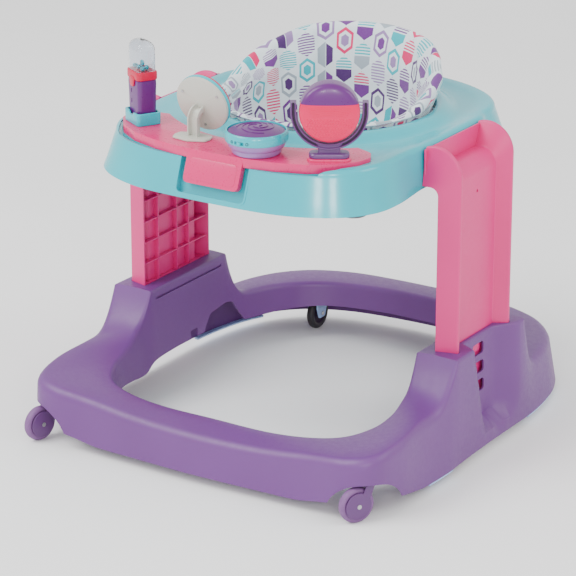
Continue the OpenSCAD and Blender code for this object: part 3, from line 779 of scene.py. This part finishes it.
leg_right = build_leg()
leg_left = mirrored(leg_right, "leg_left")
finish_piece(leg_right, "carriage", "leg", PINK, "leg_right")
finish_piece(leg_left, "carriage", "leg", PINK, "leg_left")


def build_button():
    face = bevel(prism("b", rounded_rect(14, 28, 4.5), 0, 9), 1.6, 4)
    flange = bevel(prism("b", rounded_rect(20, 32, 3), 1.9, 3.9), 0.6, 2)
    return facing_x(join(face, flange), 273, 0, BUTTON_Z)


button_right = build_button()
button_right.name = "height_button_face_right"
button_left = mirrored(button_right, "height_button_face_left")
finish_piece(button_right, "button_right", "leg", PINK, "height_button_right")
finish_piece(button_left, "button_left", "leg", PINK, "height_button_left")


# ---------- tray ----------

SEAT_C = Vector((0.0, 17.0))
SEAT_R, RIM_Z, TOP_Z, PANEL_Z = 170.0, 434.0, 499.0, 504.0
# One half of the rim, front to rear: x, y, and how far the skirt spreads (0 is upright, beside the legs).
TRAY_RIM = [
    (0, -322, 1), (60, -321, 1), (110, -317, 1), (156, -305, 1), (197, -284, 1), (227, -255, 1),
    (244, -218, 1), (247, -172, 0.9), (243, -130, 0.5), (240, -101, 0.08), (240, -45, 0), (240, 10, 0),
    (240, 45, 0), (240, 89, 0.08), (245, 118, 0.8), (240, 160, 1), (219, 200, 1), (180, 235, 1),
    (125, 261, 1), (62, 275, 1), (0, 279, 1),
]


def toward_seat(x, y, r=SEAT_R):
    d = (Vector((x, y)) - SEAT_C).normalized()
    return SEAT_C + d * r


def tray_section(row):
    out = Vector(row[0:2])
    inner = toward_seat(*out)
    w = (inner - out).length
    inward = (inner - out) / w
    k = mix(0.06, 1.0, clamp01(row[2]))
    face = [(0, RIM_Z), (1.2 * k, RIM_Z + 3), (4.5 * k, 445), (9 * k, 457)]
    face += [(13 * k, 468.5), (17 * k, 480), (19.6 * k, 487)]
    for j in range(5):
        a = math.radians(90 * j / 4)
        face.append((20.6 * k + 9 * (1 - math.cos(a)), TOP_Z - 8.5 * (1 - math.sin(a))))
    edge, valley = 21 * k + 11, w - 34
    face.append((mix(edge, valley, 0.3), TOP_Z - 2.4))
    face.append((mix(edge, valley, 0.6), TOP_Z - 4))
    face += [(valley - 4, TOP_Z - 5), (valley + 2, TOP_Z - 4.4)]
    seat_ring = [(26, -0.5), (20, 3.5), (15, 6.6), (10, 8), (5, 7.6), (1.5, 5.6), (0, 2), (0, -14)]
    face += [(w - d, TOP_Z + z) for d, z in seat_ring]
    inside = inner_side(face, (WALL, RIM_Z), (w - WALL, TOP_Z - 14))
    return [(*(out + inward * d), z) for d, z in face + inside]


TAB_X, SKIRT_TILT, LEFT_EXTRA = 8.0, 20.2, 8.0
SPINNER_X, SPINNER_Y, SPINNER_TURN = 163.0, -235.0, 32.6
AT_SPINNER = at(SPINNER_X, SPINNER_Y, 0, SPINNER_TURN)
ON_SKIRT = moved(TAB_X, -322, RIM_Z) @ turned("X", -SKIRT_TILT)
PANEL_FRONT = [(0, -301), (60, -299), (105, -292), (150, -276), (184, -251), (205, -222), (210, -196)]


def panel_outline(inset=0.0, grow=0.0, tip_r=16):
    """The panel seen from above. The front edge may be grown outwards on its own."""
    front = []
    for x, y in PANEL_FRONT:
        reach = (Vector((x, y)) - SEAT_C).length - inset + grow * clamp01((212 - x) / 50)
        front.append(tuple(toward_seat(x, y, reach)))
    rear_r = 248.0 + inset
    arc = [tuple(SEAT_C + Vector(polar(rear_r, a))) for a in range(-47, -134, -4)]
    tip_x, tip_y = 198 - inset, -176 - inset
    left_front = [(-x - LEFT_EXTRA * clamp01((x - 120) / 70), y) for x, y in front[:0:-1]]
    points = left_front + front + [(tip_x, tip_y)] + arc + [(-tip_x - LEFT_EXTRA, tip_y)]
    return fillet([(x, y, tip_r if abs(x) > 196 else 3) for x, y in points], 0, 6)


def upright_plate(name, x0, x1, y0, y1, z0, z1, r):
    """A plate in the X-Z plane with rounded corners, from y0 to y1."""
    outline = rounded_rect(x1 - x0, z1 - z0, r)
    plate = prism(name, outline, -y1, -y0)
    move = moved((x0 + x1) / 2, 0, (z0 + z1) / 2) @ turned("X", 90)
    return place(plate, move)


def cut_pocket(tray):
    boolean(tray, place(upright_plate("c", -59, 59, -9, 12, 8, 110, 9), ON_SKIRT))


def build_tray():
    mirror_rows = [(-x, y, lean) for x, y, lean in TRAY_RIM[-2:0:-1]]
    # The pocket is cut twice, because the floor under the panel fills its rear again.
    tray = skin("tray_shell", [tray_section(r) for r in spline_loop(TRAY_RIM + mirror_rows, 8)])
    pocket = place(upright_plate("c", -62, 62, 1, 15, 5, 66, 11), ON_SKIRT)
    boolean(tray, pocket, how="UNION")
    cut_pocket(tray)
    boolean(tray, prism("c", panel_outline(-1.0), 486.5, 490), how="UNION")
    boolean(tray, prism("c", panel_outline(-0.4, 14.0, 14), 490, 530))
    cut_pocket(tray)
    return finish_piece(tray, "carriage", "tray", TURQUOISE, "tray", angle=30)


build_tray()


def build_panel():
    panel = prism("toy_panel_shell", panel_outline(), 490.2, PANEL_Z)
    tab = place(upright_plate("t", -49, 47, -1, 9, 23.5, 73, 9), ON_SKIRT)
    boolean(panel, tab, how="UNION")
    bevel(panel, 2.2, 4, 40)
    pad = prism("pad", rounded_rect(64, 32, 14, 6), PANEL_Z - 1, PANEL_Z + 4)
    bevel(place(pad, AT_SPINNER), 1.6, 4)
    frame_line = place(upright_plate("f", -42, 40, -1.8, 2, 29, 62, 6), ON_SKIRT)
    bevel(frame_line, 0.7, 3)
    join(panel, pad, frame_line)
    return finish_piece(panel, "toy_bar", "panel", PANEL, "toy_panel")


build_panel()


# ---------- seat ----------

# Height of the pad's top against the sine of the angle: 1 at the back, -1 in front.
PAD_TOP = [
    (-1, 515), (-0.35, 514), (-0.15, 519), (0, 527), (0.26, 545), (0.5, 564), (0.71, 577), (0.87, 585),
    (1, 588),
]
HEM_R, OUTER_FACE_R, FIXED_R = 0.6, 166.0, 60.0
LEG_HOLE_R, LINING_TOP, PRINT_R = 46.0, 410.0, 0.160


def seat_section(angle):
    """The cloth's closed section at one angle round the seat, with the back at 90 degrees."""
    a = math.radians(angle)
    top = lookup(math.sin(a), PAD_TOP)
    back = smooth((math.sin(a) + 0.2) / 0.9)
    from_back = abs((angle + 90) % 360 - 180)
    crease = math.exp(-(((from_back - 58) / 5.0) ** 2))
    front = math.exp(-(((from_back - 112) / 6.0) ** 2))
    pull = 5.0 * crease + 3.5 * front
    arm = math.exp(-(((from_back - 84) / 24) ** 2))
    puff = 4.5 * back * (1 - crease) + 5.0 * arm
    rim = mix(172.0, 180.0, smooth((top - 515) / 40)) - pull * 0.4
    low = min(top - 24, 508)
    cloth = [
        (164.5, 488), (165.5, 498), (166.5, 507),
        (mix(167, rim, 0.45), mix(508.5, top, 0.3) if top > 530 else 509.5),
        (rim - 1.5, max(510.5, top - 17)), (rim, max(511.5, top - 9)), (rim - 1.5, max(513, top - 3.5)),
        (rim - 6, top + 0.4 - pull * 0.5), (rim - 12, top - 1.0 - pull * 0.6),
        (rim - 17, top - 6 - pull * 0.5), (rim - 21 - puff * 0.5 + pull * 0.8, mix(top - 12, low, 0.12)),
        (156 - puff + pull, mix(top - 14, low, 0.35)), (153 - puff * 1.3 + pull, mix(top - 14, low, 0.65)),
        (151 - puff + pull, low - 6), (149, 486), (147, 466), (143.5, 445), (135, 415), (123, 385),
        (104, 364), (80, 355), (40, 351.5), (HEM_R, 351),
    ]
    underside = [
        (HEM_R, 346), (40, 347), (82, 350.5), (107, 359), (127, 382), (139, 412), (148, 441), (153, 463),
        (158.5, 480),
    ]
    return [(r * math.cos(a), SEAT_C.y + r * math.sin(a), z) for r, z in cloth + underside]


def build_seat():
    steps = 120
    sections = [seat_section(360 * i / steps - 90) for i in range(steps)]
    m = len(sections[0])
    seat = skin("seat_cover", sections)
    mesh = seat.data
    layer = mesh.uv_layers.new(name="print")
    along = [0.0]
    ref = sections[steps // 2]
    for j in range(1, m):
        along.append(along[-1] + (Vector(ref[j]) - Vector(ref[j - 1])).length * MM)
    for polygon in mesh.polygons:
        columns = [mesh.loops[k].vertex_index // m for k in polygon.loop_indices]
        rows = [mesh.loops[k].vertex_index % m for k in polygon.loop_indices]
        wrap = max(columns) - min(columns) > steps / 2
        wrap_row = max(rows) - min(rows) > m / 2
        for k, c, r in zip(polygon.loop_indices, columns, rows):
            column = c + steps if wrap and c < steps / 2 else c
            height = along[-1] + 0.01 if wrap_row and r == 0 else along[r]
            layer.data[k].uv = (column / steps * 2 * math.pi * PRINT_R, height)
    for side in (-1, 1):
        boolean(seat, prism("c", circle_points(LEG_HOLE_R, 48, side * 72, SEAT_C.y - 78), 300, 410))

    def soften(bm):
        for v in bm.verts:
            p = v.co / MM
            radial = Vector((p.x, p.y - SEAT_C.y, 0))
            if radial.length < FIXED_R:
                continue
            fold = noise.noise(Vector((p.x * 0.02, p.y * 0.02, p.z * 0.03)))
            small = noise.noise(Vector((p.x * 0.05 + 9, p.y * 0.05, p.z * 0.07)))
            turn = math.degrees(math.atan2(radial.y, radial.x)) - 90
            turn = abs((turn + 180) % 360 - 180)
            seam = sum(math.exp(-(((turn - t) / 1.8) ** 2)) for t in (40, 66, 92, 122))
            puff = smooth((p.z - 470) / 40)
            crush = abs(noise.noise(Vector((p.x * 0.035, p.y * 0.035 + 4, p.z * 0.022))))
            creases = 2.6 * fold + 1.6 * small + 5.0 * (0.22 - crush)
            amount = creases * smooth((p.z - 500) / 20) - 4.5 * seam * puff
            share = 0.5 if radial.length > OUTER_FACE_R else -1.0
            v.co -= radial.normalized() * (amount * share * MM)

    edit(seat, soften)
    subdivide(seat, 1)
    seat.data.materials.clear()
    seat.data.materials.append(FABRIC)
    seat.data.materials.append(LINING)
    for polygon in seat.data.polygons:
        c = polygon.center / MM
        radial = math.hypot(c.x, c.y - SEAT_C.y)
        polygon.use_smooth = True
        if c.z < LINING_TOP or c.z < 484 and radial > 150:
            polygon.material_index = 1
    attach(seat, "carriage")
    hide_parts("seat_pad")
    return seat


build_seat()


# ---------- casters and wheels ----------

WHEEL_R, WHEEL_W, CHEEK = 27.5, 13.0, 8.5
WHEEL_SIDE = {"caster": "front", "rear": "rear"}


# Half profiles of tyre and hub: radius, and distance in from the wheel's face.
TYRE_HALF = [(18.5, 1.6), (20, 0.4), (22.5, 0), (25.2, 0.8), (26.9, 2.4), (WHEEL_R, 4.6)]
HUB_HALF = [(2.05, 0), (5.2, 0), (6, 0.6), (6.2, 2.6), (16, 3.2), (17.4, 1.6), (18.6, 1.3)]


def wheel_part(name, half):
    face = WHEEL_W / 2
    profile = [(r, -face + d) for r, d in half] + [(r, face - d) for r, d in half[::-1]]
    return lathe(name, profile, 72, closed=True)


def build_wheel(kind, place_name, matrix, slot, tread, core):
    name, body = f"{kind}_wheel_{place_name}", f"wheel_{WHEEL_SIDE[kind]}_{place_name}"
    node = f"{WHEEL_SIDE[kind]}_wheel_{place_name}"
    finish_piece(place(wheel_part(name + "_tyre", TYRE_HALF), matrix), body, slot, tread, node)
    finish_piece(place(wheel_part(name + "_hub", HUB_HALF), matrix), body, slot, core)


HOOD_DISC = [(2.0, -1.25), (19.4, -1.25), (20.7, -0.6), (21, 0.2), (20.4, 1.0), (12, 1.9), (2.0, 2.1)]


def build_caster(side, name, turn):
    at_caster = at(side * CASTER_X, CASTER_Y, 0, turn)
    on_axle = at_caster @ moved(-TRAIL, 0, WHEEL_R) @ turned("X", 90)
    build_wheel("caster", name, on_axle, "caster_wheel", TYRE_PURPLE, MAUVE)
    parts = [lathe("stem", [(0, 56), (5, 56), (5, 82.4), (4.4, 83), (0, 83)], 32)]
    parts.append(bevel(box("bridge", (-5, -CHEEK - 1.25, 55.5), (9, CHEEK + 1.25, 59)), 1.2, 3))
    for s in (-1, 1):
        disc = lathe("disc", HOOD_DISC, 64, closed=True)
        parts.append(place(disc, moved(-TRAIL, s * CHEEK, WHEEL_R) @ turned("X", -90 * s)))
        arm = fillet([(-16, 34), (-4, 24), (8, 57.5, 1), (-6, 57.5, 1)], 4, 4)
        plate = bevel(prism("arm", arm, -1.3, 1.3), 0.7, 3)
        parts.append(place(plate, moved(0, s * CHEEK, 0) @ UPRIGHT))
    hood = join(*parts)
    hood.name = "caster_hood_" + name
    place(hood, at_caster)
    finish_piece(hood, "caster_" + name, "caster", MAUVE, "caster_fork_" + name)


build_caster(-1, "left", 75.0)
build_caster(1, "right", 60.0)

for side, name in ((-1, "left"), (1, "right")):
    x = side * REAR_X
    on_axle = moved(x, REAR_Y, WHEEL_R) @ turned("Y", 90)
    build_wheel("rear", name, on_axle, "black_wheel", BLACK, DARK_PLASTIC_AND_SHADE)
    cheeks = []
    for s in (-1, 1):
        outline = fillet([(-15, 66), (-15, 38), (-9, 20), (9, 20), (15, 38), (15, 66)], 6, 5)
        cheek = bevel(prism("cheek", outline, -1.25, 1.25), 0.6, 3)
        cheeks.append(place(cheek, moved(x + s * CHEEK, REAR_Y, 0) @ ALONG_Y))
    top = bevel(box("top", (x - 9.7, REAR_Y - 15, 60), (x + 9.7, REAR_Y + 15, 66)), 1.5, 3)
    post = lathe("post", [(0, 64), (4, 64), (4, 86.4), (3.4, 87), (0, 87)], 32)
    place(post, moved(x, REAR_Y, 0))
    bracket = join(top, post, *cheeks)
    bracket.name = "rear_bracket_shell_" + name
    finish_piece(bracket, "base", "grip", GRIP, "rear_bracket_" + name)


# ---------- bead tube ----------

AT_TUBE = at(-173, -226, 0, -30)


def stack(name, levels, r, steps):
    """A solid skinned over rounded rectangles, each given as height above the panel, width and depth."""
    sections = [[(x, y, PANEL_Z + z) for x, y in rounded_rect(w, d, r, steps)] for z, w, d in levels]
    return skin(name, sections, ring=False)


def tube_piece(obj, body, slot, material, *nodes):
    return finish_piece(place(obj, AT_TUBE), body, slot, material, *nodes)


socket = prism("tube_socket_shell", rounded_rect(50, 40, 7), PANEL_Z + 0.1, PANEL_Z + 19.1)
boolean(socket, prism("c", rounded_rect(43, 33, 5), PANEL_Z + 6, PANEL_Z + 30))
notch = place(prism("c", circle_points(9, 32), -30, -10), moved(0, 0, PANEL_Z + 23) @ turned("X", -90))
boolean(socket, notch)
bevel(socket, 1.1, 3)
tube_piece(socket, "toy_bar", "teal", TEAL, "tube_socket")

body_levels = [
    (9, 34, 24), (10, 37, 27.5), (13, 39, 29), (24, 40, 30), (45, 40.5, 30.5), (62, 41.5, 31.5), (68, 41, 31),
    (69, 39, 29),
]
tube_body = stack("tube_body_shell", body_levels, 7, 6)
lobe = lathe("lobe", [(0, -2.4), (8.6, -2.4), (9.6, -1.6), (9.8, 0), (9.6, 1.6), (8.6, 2.4), (0, 2.4)], 40)
place(lobe, moved(0, -14.4, PANEL_Z + 15) @ UPRIGHT)
join(tube_body, lobe)
for z in (34, 50):
    cut = prism("c", rounded_rect(2.2, 7, 1), -3, 3)
    boolean(tube_body, place(cut, moved(-6, -15, PANEL_Z + z) @ UPRIGHT))
tube_piece(tube_body, "bead_tube", "toy_purple", TOY_PURPLE, "tube_body")

collar_levels = [(69.1, 42, 32), (69.6, 43.4, 33.4), (71, 44, 34)]
collar_levels += [(80, 44, 34), (81.5, 43.4, 33.4), (82.1, 42, 32)]
collar = stack("tube_collar_shell", collar_levels, 8, 6)
tongue = prism("tongue", fillet([(-9, 74), (9, 74), (6, 58), (-6, 58)], 5, 5), -1.4, 1.4)
bevel(tongue, 0.8, 3)
place(tongue, moved(0, -16.6, PANEL_Z) @ UPRIGHT)
join(collar, tongue)
tube_piece(collar, "bead_tube", "red", RED, "tube_collar")


def dome(name, w, d, h, r):
    sections = []
    for k in range(9):
        f = k / 8
        squeeze = math.sqrt(max(0.0, 1 - f * f)) if k else 1.0
        z = (h - 15) + 15 * f if k else h - 15
        shrink = 1 - (1 - squeeze) * 0.55
        sections.append([(x * shrink, y * mix(1, squeeze, 0.8), z) for x, y in rounded_rect(w, d, r, 6)])
    bottom = [(x, y, 0) for x, y in rounded_rect(w, d, r, 6)]
    return skin(name, [bottom] + sections, ring=False)


clear_dome = dome("tube_dome_shell", 40, 30, 46, 8)
boolean(clear_dome, place(dome("c", 37.6, 27.6, 44.8, 7), moved(0, 0, -0.5)))
place(clear_dome, moved(0, 0, PANEL_Z + 82.2))
tube_piece(clear_dome, "bead_tube", "clear", CLEAR, "tube_dome")

beads = []
low_beads = [(x, y, 3.6, 3.5) for x, y in ((-10, 4), (-2, -5), (7, 4), (12, -5), (-12, -6))]
for x, y, z, r in low_beads + [(4, -1, 9.6, 3), (-5, 2, 9.6, 3)]:
    profile = [polar(r, a) for a in range(-90, 91, 12)]
    beads.append(place(lathe("bead", profile, 24), moved(x, y, PANEL_Z + 82.4 + z)))
bead_piece = join(*beads)
bead_piece.name = "tube_bead_balls"
tube_piece(bead_piece, "bead_tube", "teal", TEAL, "tube_beads")


# ---------- mirror toy ----------

AT_MIRROR = moved(-53, -238, 557) @ turned("X", -90 + 16.3)
back_profile = [(0, -7), (42.6, -7), (43.8, -6.4), (44, -5), (44, -2.4), (43.4, -2), (0, -2)]
back = lathe("mirror_back_shell", back_profile, 96)
slots = []
for a in (90, 210, 330):
    hole = prism("c", rounded_rect(4.6, 1.3, 0.5), -8, -6)
    x, y = polar(35, a)
    slots.append(place(hole, moved(x, y, 0) @ turned("Z", a + 40)))
boolean(back, *slots)
finish_piece(place(back, AT_MIRROR), "toy_bar", "pale_grey", PALE_GREY, "mirror_back")
rim_profile = [
    (0, -1.9), (43.5, -1.9), (44.4, -1.2), (44.5, 1), (44.2, 3.4), (43.4, 4.1), (38, 4.1), (38, 1), (0, 1),
]
rim = lathe("mirror_rim_shell", rim_profile, 96)
finish_piece(place(rim, AT_MIRROR), "toy_bar", "teal", TEAL, "mirror_rim")
ring_profile = [(32, 4.3), (42.3, 4.3), (42.6, 5.5), (42.2, 7.6), (40.6, 9), (38, 9.3), (34, 8.4), (32.4, 7)]
ring = lathe("mirror_ring_shell", ring_profile, 96, closed=True)
studs = []
for k in range(12):
    a = math.radians(30 * k)
    stud = lathe("stud", [(0, 8.2), (2.2, 8.2), (2, 9.6), (1.2, 10.3), (0, 10.5)], 20)
    studs.append(place(stud, moved(38 * math.cos(a), 38 * math.sin(a), 0)))
join(ring, *studs)
finish_piece(place(ring, AT_MIRROR), "mirror_turner", "red", RED, "mirror_ring")
glass = lathe("mirror_glass_face", [(0, 1.1), (31, 1.1), (31.5, 1.6), (31.5, 4.6), (31, 5.0), (0, 5.4)], 96)
finish_piece(place(glass, AT_MIRROR), "toy_bar", "mirror", MIRROR, "mirror_glass")

foot_outline = [(-27, -13), (0, -21), (27, -13), (30, 0), (27, 13), (0, 21), (-27, 13), (-30, 0)]
foot = bevel(prism("mirror_stalk_shell", fillet(foot_outline, 5, 5), 0, 3.6), 1.2, 4)
place(foot, at(-62, -256, PANEL_Z + 0.1, 8))
path = [(-61, -254, PANEL_Z + 3)] + [(-61, -254, z) for z in (512, 520, 528, 535)]
for k in range(1, 8):
    a = math.radians(90 * k / 7)
    path.append((mix(-61, -55, k / 7), -254 + 12 * (1 - math.cos(a)) * 0.75, 535 + 14 * math.sin(a)))
channel = [(-9, -4), (-9, 5), (-6.4, 5), (-6.4, -1.2), (6.4, -1.2), (6.4, 5), (9, 5), (9, -4)]
sections = []
for i, p in enumerate(path):
    before, after = Vector(path[max(i - 1, 0)]), Vector(path[min(i + 1, len(path) - 1)])
    along = (after - before).normalized()
    across = Vector((1, 0, 0))
    across = (across - along * across.dot(along)).normalized()
    out = along.cross(across)
    sections.append([tuple(Vector(p) + across * a - out * b) for a, b in fillet(channel, 1.2, 3)])
stalk = skin("stalk", sections, ring=False)
join(foot, stalk)
finish_piece(foot, "toy_bar", "pale_grey", PALE_GREY, "mirror_stalk")


# ---------- drum ----------

AT_DRUM = moved(55, -262, PANEL_Z)
base_profile = [
    (0, 0.1), (34, 0.1), (35.6, 0.9), (36.6, 3), (37.2, 8), (38.2, 9), (39.2, 9.4), (41.6, 12), (43.4, 16),
    (44, 19), (42.4, 19.1), (33, 19.1), (33, 3.1), (0, 3.1),
]
drum_base = lathe("drum_base_shell", base_profile, 96)
finish_piece(place(drum_base, AT_DRUM), "toy_bar", "lavender", LAVENDER, "drum_base")
ring_profile = [
    (41, 19.2), (44.6, 19.2), (46.2, 20), (47, 22.5), (47, 29), (46.4, 32.6), (45, 34.8), (43.8, 35.2),
    (43, 34.8), (43, 22.2), (41, 22.2),
]
drum_ring = lathe("drum_ring_shell", ring_profile, 96, closed=True)
boolean(drum_ring, bevel(box("c", (-8, -49, 22.4), (8, -43.5, 27.2)), 1, 2))
finish_piece(place(drum_ring, AT_DRUM), "toy_bar", "teal", TEAL, "drum_ring")
switch = bevel(box("drum_switch_slider", (-3, -49, 22.7), (3, -44, 26.8)), 0.9, 3)
finish_piece(place(switch, AT_DRUM), "switch", "teal", TEAL, "drum_switch")
marks = []
for x in (-13, 13):
    mark = lathe("mark", [(1.6, -0.3), (2.3, -0.3), (2.3, 0.3), (1.6, 0.3)], 24, closed=True)
    tilt = moved(x, -45.3, 25) @ turned("X", 90) @ turned("Y", x)
    marks.append(place(mark, tilt))
marks_piece = join(*marks)
marks_piece.name = "drum_switch_marks"
finish_piece(place(marks_piece, AT_DRUM), "toy_bar", "teal", DARK_PLASTIC_AND_SHADE)


def swirl(turn):
    pts = []
    for k in range(26):
        a = math.radians(turn + 13 * k)
        r = 5 + 24 * k / 25
        pts.append((r * math.cos(a), r * math.sin(a), dish(r) + 0.2))
    section = [polar(0.9, t) for t in range(0, 360, 45)]
    return sweep("swirl", pts, section)


def dish(r):
    return 40.5 - (r / 42.7) ** 2 * 7.5


top_profile = [(0, 26), (42.5, 26), (42.7, 27), (42.7, 31.4), (42, 33)]
top_profile += [(r, dish(r)) for r in (40, 34, 27, 18, 9, 0)]
drum_top = lathe("drum_top_shell", top_profile, 96)
join(drum_top, swirl(0), swirl(120), swirl(240))
finish_piece(place(drum_top, AT_DRUM), "drum_head", "toy_purple", TOY_PURPLE, "drum_top")


# ---------- spinner ----------

BALL_Z = 577.0
AT_BALL = moved(0, 0, BALL_Z) @ AT_SPINNER


def yoke_sections(profile):
    """Carries (radius, across) points round the lower half of the ball, with upright ends."""
    path = [(1, 0, h) for h in (14, 10, 5)]
    path += [(*polar(1, -a), 0) for a in range(0, 181, 5)]
    path += [(-1, 0, h) for h in (5, 10, 14)]
    return [[(c * r, y, s * r + h) for r, y in profile] for c, s, h in path]


band = [
    (47.6, -9, 1), (50, -9, 1), (50.6, -5.2, 0.6), (53.4, -5.2, 0.6), (54, -9, 1), (56.5, -9, 1.6),
    (56.5, 9, 1.6), (47.6, 9, 1),
]
yoke = skin("spinner_yoke_shell", yoke_sections(fillet(band, 0, 3)), ring=False)
place(yoke, AT_BALL)
foot_plate = stack("foot", [(4, 57, 25), (5, 59, 27), (9, 59, 27), (11, 57, 25), (11.6, 54, 22)], 12, 6)
neck = stack("neck", [(10, 34, 15), (14, 32, 14), (20, 32, 14), (26, 40, 15)], 3, 4)
join(foot_plate, neck)
place(foot_plate, AT_SPINNER)
join(yoke, foot_plate)
finish_piece(yoke, "toy_bar", "mauve", MAUVE, "spinner_yoke")
# A dark strip laid on the floor of the yoke's groove: painted shade in the recess.
groove_shade_band = [(50.7, -5.3), (53.3, -5.3), (53.3, -5.9), (50.7, -5.9)]
groove_shade = skin("spinner_groove_shade", yoke_sections(groove_shade_band), ring=False)
finish_piece(place(groove_shade, AT_BALL), "toy_bar", "mauve", DARK_PLASTIC_AND_SHADE)

SPLIT, BALL_R = 14.0, 44.0


def ball_point(u, v, half):
    """u across, v up, on the front or back face of a flattened ball."""
    d = math.hypot(u, v)
    bulge = math.sqrt(max(0.0, 1 - (min(d, BALL_R) / BALL_R) ** 2))
    return (u, half * (8 + 14 * bulge**0.55), v)


def lens(name, radius, split, above):
    rings, count = 14, 96
    verts, faces = [], []
    for half in (-1, 1):
        for i in range(rings + 1):
            r = radius * math.sin(math.pi / 2 * i / rings)
            for k in range(count):
                a = 2 * math.pi * k / count
                verts.append(ball_point(r * math.cos(a), r * math.sin(a), half))
    per = (rings + 1) * count
    for h in (0, 1):
        for i in range(rings):
            for k in range(count):
                a = h * per + i * count + k
                b = h * per + i * count + (k + 1) % count
                faces.append((a, b, b + count, a + count))
    for k in range(count):
        a = rings * count + k
        b = rings * count + (k + 1) % count
        faces.append((a, b, b + per, a + per))
    obj = mesh_object(name, verts, faces)
    edit(obj, lambda bm: bmesh.ops.remove_doubles(bm, verts=bm.verts, dist=1e-5))
    outward(obj)
    low, high = ((-80, -80, split + 0.1), (80, 80, 80)) if above else ((-80, -80, -80), (80, 80, split))
    return boolean(obj, box("c", low, high), how="INTERSECT")


ball = lens("spinner_bowl_shell", BALL_R, SPLIT, False)
ribs = []
for side in (-1, 1):
    for k in range(5):
        z = SPLIT - 3 - 3.1 * k
        half_w = math.sqrt(BALL_R**2 - z**2) * (0.74 - 0.05 * k)
        pts = []
        for j in range(15):
            u = mix(-half_w, half_w, j / 14)
            v = z + 3.5 * (1 - (u / half_w) ** 2) - 3
            pts.append(ball_point(u, v, side))
        ribs.append(sweep("rib", pts, [(0.7, 0), (0, 0.7), (-0.7, 0), (0, -0.7)]))
    for row in range(7):
        for col in range(-7, 8):
            u = col * 4.6 + (2.3 if row % 2 else 0)
            v = -8 - row * 4.2
            if math.hypot(u, v) > BALL_R - 7:
                continue
            stud = lathe("stud", [(1.9, 0), (1.3, 0.6), (0, 0.8)], 8)
            ribs.append(place(stud, moved(*ball_point(u, v, side)) @ turned("X", 90 if side < 0 else -90)))
join(ball, *ribs)
finish_piece(place(ball, AT_BALL), "spinner", "hot_pink", HOT_PINK, "spinner_ball")
cap = lens("spinner_cap_shell", BALL_R, SPLIT, True)
bevel(cap, 0.8, 2, 50)
finish_piece(place(cap, AT_BALL), "spinner", "toy_purple", TOY_PURPLE, "spinner_cap")


# ---------- CAD nodes that stay ----------

KEPT = [
    (GRIP, "grip_strips"),
    (PURPLE, "caster_socket_left caster_socket_right"),
    (STEEL, "front_axle_left front_axle_right rear_axle_left rear_axle_right leg_screws toy_screws"),
    (STEEL, "mirror_screws tube_pivot_pin spinner_axle drum_batteries"),
    (GREY, "seat_hoop seat_bottom"),
    (BOARD, "drum_circuit_board"),
    (DARK_PLASTIC_AND_SHADE, "drum_speaker"),
]
for material, nodes in KEPT:
    for node in nodes.split():
        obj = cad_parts[node]
        if not obj.material_slots:
            obj.data.materials.append(material)
        for slot in obj.material_slots:
            slot.material = material


# ---------- floor, light and camera ----------

FLOOR = 9000
corners = [(-FLOOR, -FLOOR, 0), (FLOOR, -FLOOR, 0), (FLOOR, FLOOR, 0), (-FLOOR, FLOOR, 0)]
floor = mesh_object("floor", corners, [(0, 1, 2, 3)])
floor_paint = Material("pale floor")
shades = [(0.3, colour(244, 244, 244)), (0.7, colour(248, 248, 248))]
floor_paint.set(Base_Color=floor_paint.ramp(floor_paint.noise(1.5), shades))
floor_paint.set(Roughness=0.9, Specular_IOR_Level=0.1)
floor.data.materials.append(floor_paint.material)


def area_light(name, where, target, size, power, tint=(1, 1, 1)):
    data = bpy.data.lights.new(name, "AREA")
    data.shape = "RECTANGLE"
    data.size, data.size_y = size
    data.energy = power
    data.color = tint
    light = bpy.data.objects.new(name, data)
    light.location = where
    light.rotation_euler = (Vector(target) - Vector(where)).to_track_quat("-Z", "Y").to_euler()
    bpy.context.scene.collection.objects.link(light)


area_light("key", (-1.6, -2.2, 3.0), (0, 0, 0.3), (2.2, 2.2), 120)
area_light("window left", (1.5, -3.3, 1.7), (0, -0.1, 0.4), (0.4, 0.45), 20)
area_light("window right", (2.3, -2.7, 1.7), (0, -0.1, 0.4), (0.4, 0.45), 20)
area_light("fill", (2.8, 0.6, 2.2), (0, 0, 0.3), (1.6, 1.6), 30)

world = bpy.data.worlds.new("studio")
world.use_nodes = True
world.node_tree.nodes["Background"].inputs["Color"].default_value = (1, 1, 1, 1)
world.node_tree.nodes["Background"].inputs["Strength"].default_value = 1.3
bpy.context.scene.world = world

camera_data = bpy.data.cameras.new("camera")
camera_data.lens = 182.2
camera_data.sensor_width = 36
camera_data.clip_end = 100
camera = bpy.data.objects.new("camera", camera_data)
camera.location = (2.282, -3.659, 1.779)
camera.rotation_euler = (math.radians(69.9), 0, math.radians(32.6))
bpy.context.scene.collection.objects.link(camera)
bpy.context.scene.camera = camera

bpy.context.view_layer.update()
